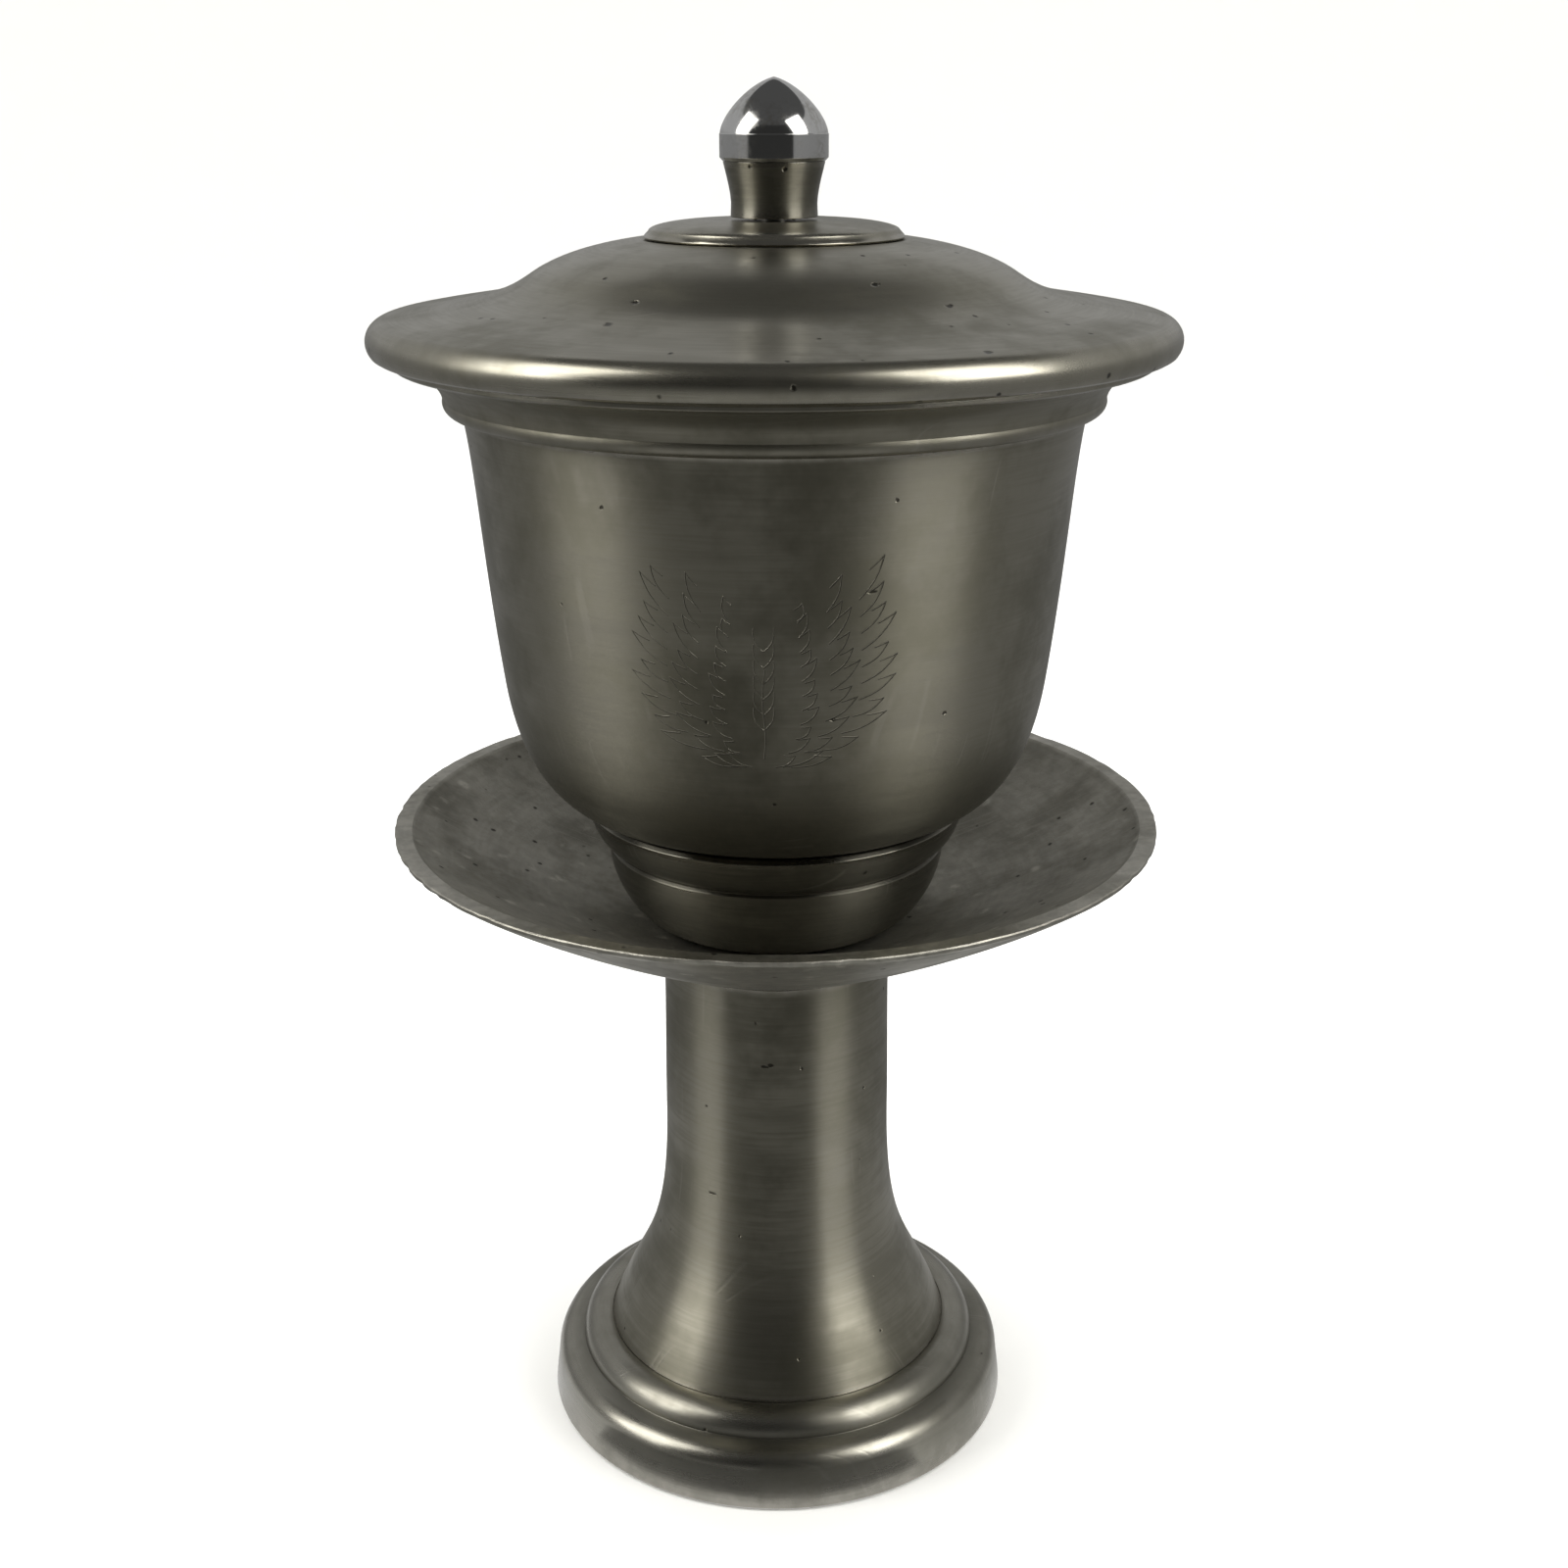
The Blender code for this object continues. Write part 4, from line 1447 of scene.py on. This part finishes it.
@dataclass(frozen=True)
class SoftLight:
    """A rectangular light that faces the cup, placed in degrees and metres, with its power in watts."""

    name: str
    azimuth: float
    elevation: float
    distance: float
    size: Point
    power: float
    colour: Spot
    in_reflections: bool = True

    def hang(self) -> None:
        """Hang the light, azimuth degrees to the right of the camera and elevation degrees up."""
        data = bpy.data.lights.new(self.name, "AREA")
        data.shape = "RECTANGLE"
        data.size, data.size_y = self.size
        data.energy = self.power
        data.color = self.colour
        light = bpy.data.objects.new(self.name, data)
        around, up = math.radians(self.azimuth), math.radians(self.elevation)
        away = Vector((math.sin(around) * math.cos(up), -math.cos(around) * math.cos(up), math.sin(up)))
        light.location = Vector((0.0, 0.0, AIM_HEIGHT)) + away * self.distance
        light.rotation_euler = away.to_track_quat("Z", "Y").to_euler()
        light.visible_glossy = self.in_reflections
        bpy.context.scene.collection.objects.link(light)


SOFT_LIGHTS = (
    SoftLight("left_window", -73.0, 34.0, 0.62, (0.34, 0.54), 2.35, (1.0, 0.985, 0.95)),
    SoftLight("right_window", 60.0, 34.0, 0.62, (0.36, 0.54), 2.5, (1.0, 0.985, 0.95)),
    SoftLight("ceiling", 180.0, 78.0, 1.2, (1.2, 1.2), 13.5, (1.0, 1.0, 0.99), in_reflections=False))


@dataclass
class Studio:
    """A pale sweep, two tall soft windows of light, a dark flag and the camera."""

    sweep_radius: float = 1.5
    sweep_bend: float = 0.5
    wall_height: float = 1.6
    camera_back: float = 0.2233
    camera_height: float = 0.15958
    camera_side: float = 0.00096
    camera_pitch: float = 19.25
    camera_roll: float = -0.09
    lens: float = 45.52
    sensor: float = 36.0
    nearest_seen: float = 0.005
    near_glow: float = 0.75
    near_from: float = 0.04
    near_to: float = 0.1
    floor_glow: float = 0.25
    wall_glow: float = 0.46
    wall_from: float = 0.02
    wall_to: float = 0.5
    roof_glow: float = 0.09
    flag_foot: float = 0.11
    flag_near: float = 0.34
    flag_far: float = 0.14
    far_from: float = 0.12
    far_to: float = 0.5
    flag_top: float = 0.035
    top_height: float = 0.14
    flag_outline: tuple[Point, ...] = ((0.0315, 0.0006), (0.5, 0.0006), (0.62, 0.1), (0.62, 0.75))
    flag_from: float = -56.0
    flag_to: float = 41.0

    def build(self) -> None:
        """Set the camera, the sweep, the flag, the lights and the surrounding light."""
        self.set_camera()
        self.set_sweep()
        self.set_flag()
        for light in SOFT_LIGHTS:
            light.hang()
        self.set_world()
        bpy.context.scene.view_settings.view_transform = "Standard"

    def set_camera(self) -> None:
        """Stand the camera in front of the cup, tipped down."""
        data = bpy.data.cameras.new("camera")
        data.sensor_width = self.sensor
        data.lens = self.lens
        data.clip_start = self.nearest_seen
        camera = bpy.data.objects.new("camera", data)
        tip = Matrix.Rotation(math.radians(90.0 - self.camera_pitch), 4, "X")
        roll = Matrix.Rotation(math.radians(self.camera_roll), 4, "Z")
        place = Matrix.Translation((self.camera_side, -self.camera_back, self.camera_height))
        camera.matrix_world = place @ tip @ roll
        bpy.context.scene.collection.objects.link(camera)
        bpy.context.scene.camera = camera

    def set_world(self) -> None:
        """Light the studio evenly, but let the metal see a dim roof."""
        world = bpy.data.worlds.new("surrounding_light")
        world.use_nodes = True
        graph = Graph(world.node_tree)
        glossy = graph.node("ShaderNodeLightPath").outputs["Is Glossy Ray"]
        dim = (self.roof_glow, self.roof_glow, self.roof_glow, 1.0)
        glow = graph.mix(glossy, (0.5, 0.5, 0.49, 1.0), dim)
        graph.feed(world.node_tree.nodes["Background"].inputs["Color"], glow)
        bpy.context.scene.world = world

    def set_sweep(self) -> None:
        """Turn a floor that curves up into a wall all round, which metal sees as a painted glow, dimmer than
        the eye sees it.
        """
        radius, bend = self.sweep_radius, self.sweep_bend
        outline = Section([(0.0, 0.0)]).arc((radius - bend, bend), bend, -90.0, 0.0, 16)
        sweep = self.spun("pale_sweep", outline.to((radius, self.wall_height)).points, 0.0, 360.0)
        material, graph, shader = start_material("pale_floor")
        shader.inputs["Base Color"].default_value = (0.9, 0.9, 0.89, 1.0)
        shader.inputs["Roughness"].default_value = 0.9
        shader.inputs["Specular IOR Level"].default_value = 0.1
        # Painted reflection: metal sees the sweep as a glow, brightest close round the cup, dimmer on the
        # floor and brighter up the wall.
        reach, height = self.reach_and_height(graph)
        floor = graph.remap(reach, self.near_from, self.near_to, self.near_glow, self.floor_glow)
        seen = graph.node("ShaderNodeEmission")
        glow = graph.remap(height, self.wall_from, self.wall_to, floor, self.wall_glow)
        graph.feed(seen.inputs["Strength"], glow)
        glossy = graph.node("ShaderNodeLightPath").outputs["Is Glossy Ray"]
        blend = graph.fed(graph.node("ShaderNodeMixShader"), glossy, shader.outputs[0], seen.outputs[0])
        graph.feed(material.node_tree.nodes["Material Output"].inputs["Surface"], blend.outputs[0])
        sweep.data.materials.append(material)

    @staticmethod
    def reach_and_height(graph: Graph) -> tuple[Socket, Socket]:
        """Return how far from the axis and how high a point of the stage is, in metres."""
        x, y, height = graph.split(graph.place())
        return graph.vector_math("LENGTH", graph.vector(x, y, 0.0)).outputs["Value"], height

    def set_flag(self) -> None:
        """Set a dark flag that only reflections see, in front between the two windows: a dim glow, a painted
        reflection.
        """
        turn = self.flag_to - self.flag_from
        flag = self.spun("dark_flag", self.flag_outline, self.flag_from - 90.0, turn)
        flag.visible_camera = False
        flag.visible_diffuse = False
        flag.visible_shadow = False
        material, graph, shader = start_material("dark_cloth")
        shader.inputs["Base Color"].default_value = (0.0, 0.0, 0.0, 1.0)
        shader.inputs["Specular IOR Level"].default_value = 0.0
        shader.inputs["Emission Color"].default_value = (1.0, 1.0, 0.98, 1.0)
        # Painted reflection: the flag glows dimly near the cup, brightest about 0.1 m out, fading further
        # out and higher up.
        reach, height = self.reach_and_height(graph)
        foot = graph.remap(reach, self.near_from, self.near_to, self.flag_foot, self.flag_near)
        floor = graph.remap(reach, self.far_from, self.far_to, foot, self.flag_far)
        glow = graph.remap(height, 0.0, self.top_height, floor, self.flag_top)
        graph.feed(shader.inputs["Emission Strength"], glow)
        flag.data.materials.append(material)

    @staticmethod
    def spun(name: str, outline: Iterable[Point], start: float, turn: float) -> bpy.types.Object:
        """Spin an outline in metres into a surface of the stage.

        Args:
            name: The object's name.
            outline: (radius, height) points.
            start: Degrees round from +X where the spin starts.
            turn: Degrees that it goes through.

        Returns:
            The object, marked as part of the stage.
        """
        solid = bmesh.new()
        corners = [solid.verts.new((spot[0], 0.0, spot[1])) for spot in outline]
        edges = [solid.edges.new(pair) for pair in zip(corners, corners[1:])]
        facing = Matrix.Rotation(math.radians(start), 3, "Z")
        bmesh.ops.rotate(solid, verts=solid.verts, cent=(0.0, 0.0, 0.0), matrix=facing)
        spin_round(solid, corners + edges, math.radians(turn), STAGE_TURN)
        mesh = bpy.data.meshes.new(name)
        solid.to_mesh(mesh)
        solid.free()
        mesh.shade_smooth()
        made = bpy.data.objects.new(name, mesh)
        bpy.context.scene.collection.objects.link(made)
        return made


def main() -> None:
    """Build the studio, then the stand, the cup and the lid."""
    logging.basicConfig(level=logging.INFO, format="%(name)s: %(message)s")
    Effects.build()
    Studio().build()
    Stand().build()
    Cup().build()
    Lid().build()


if __name__ == "__main__":
    main()
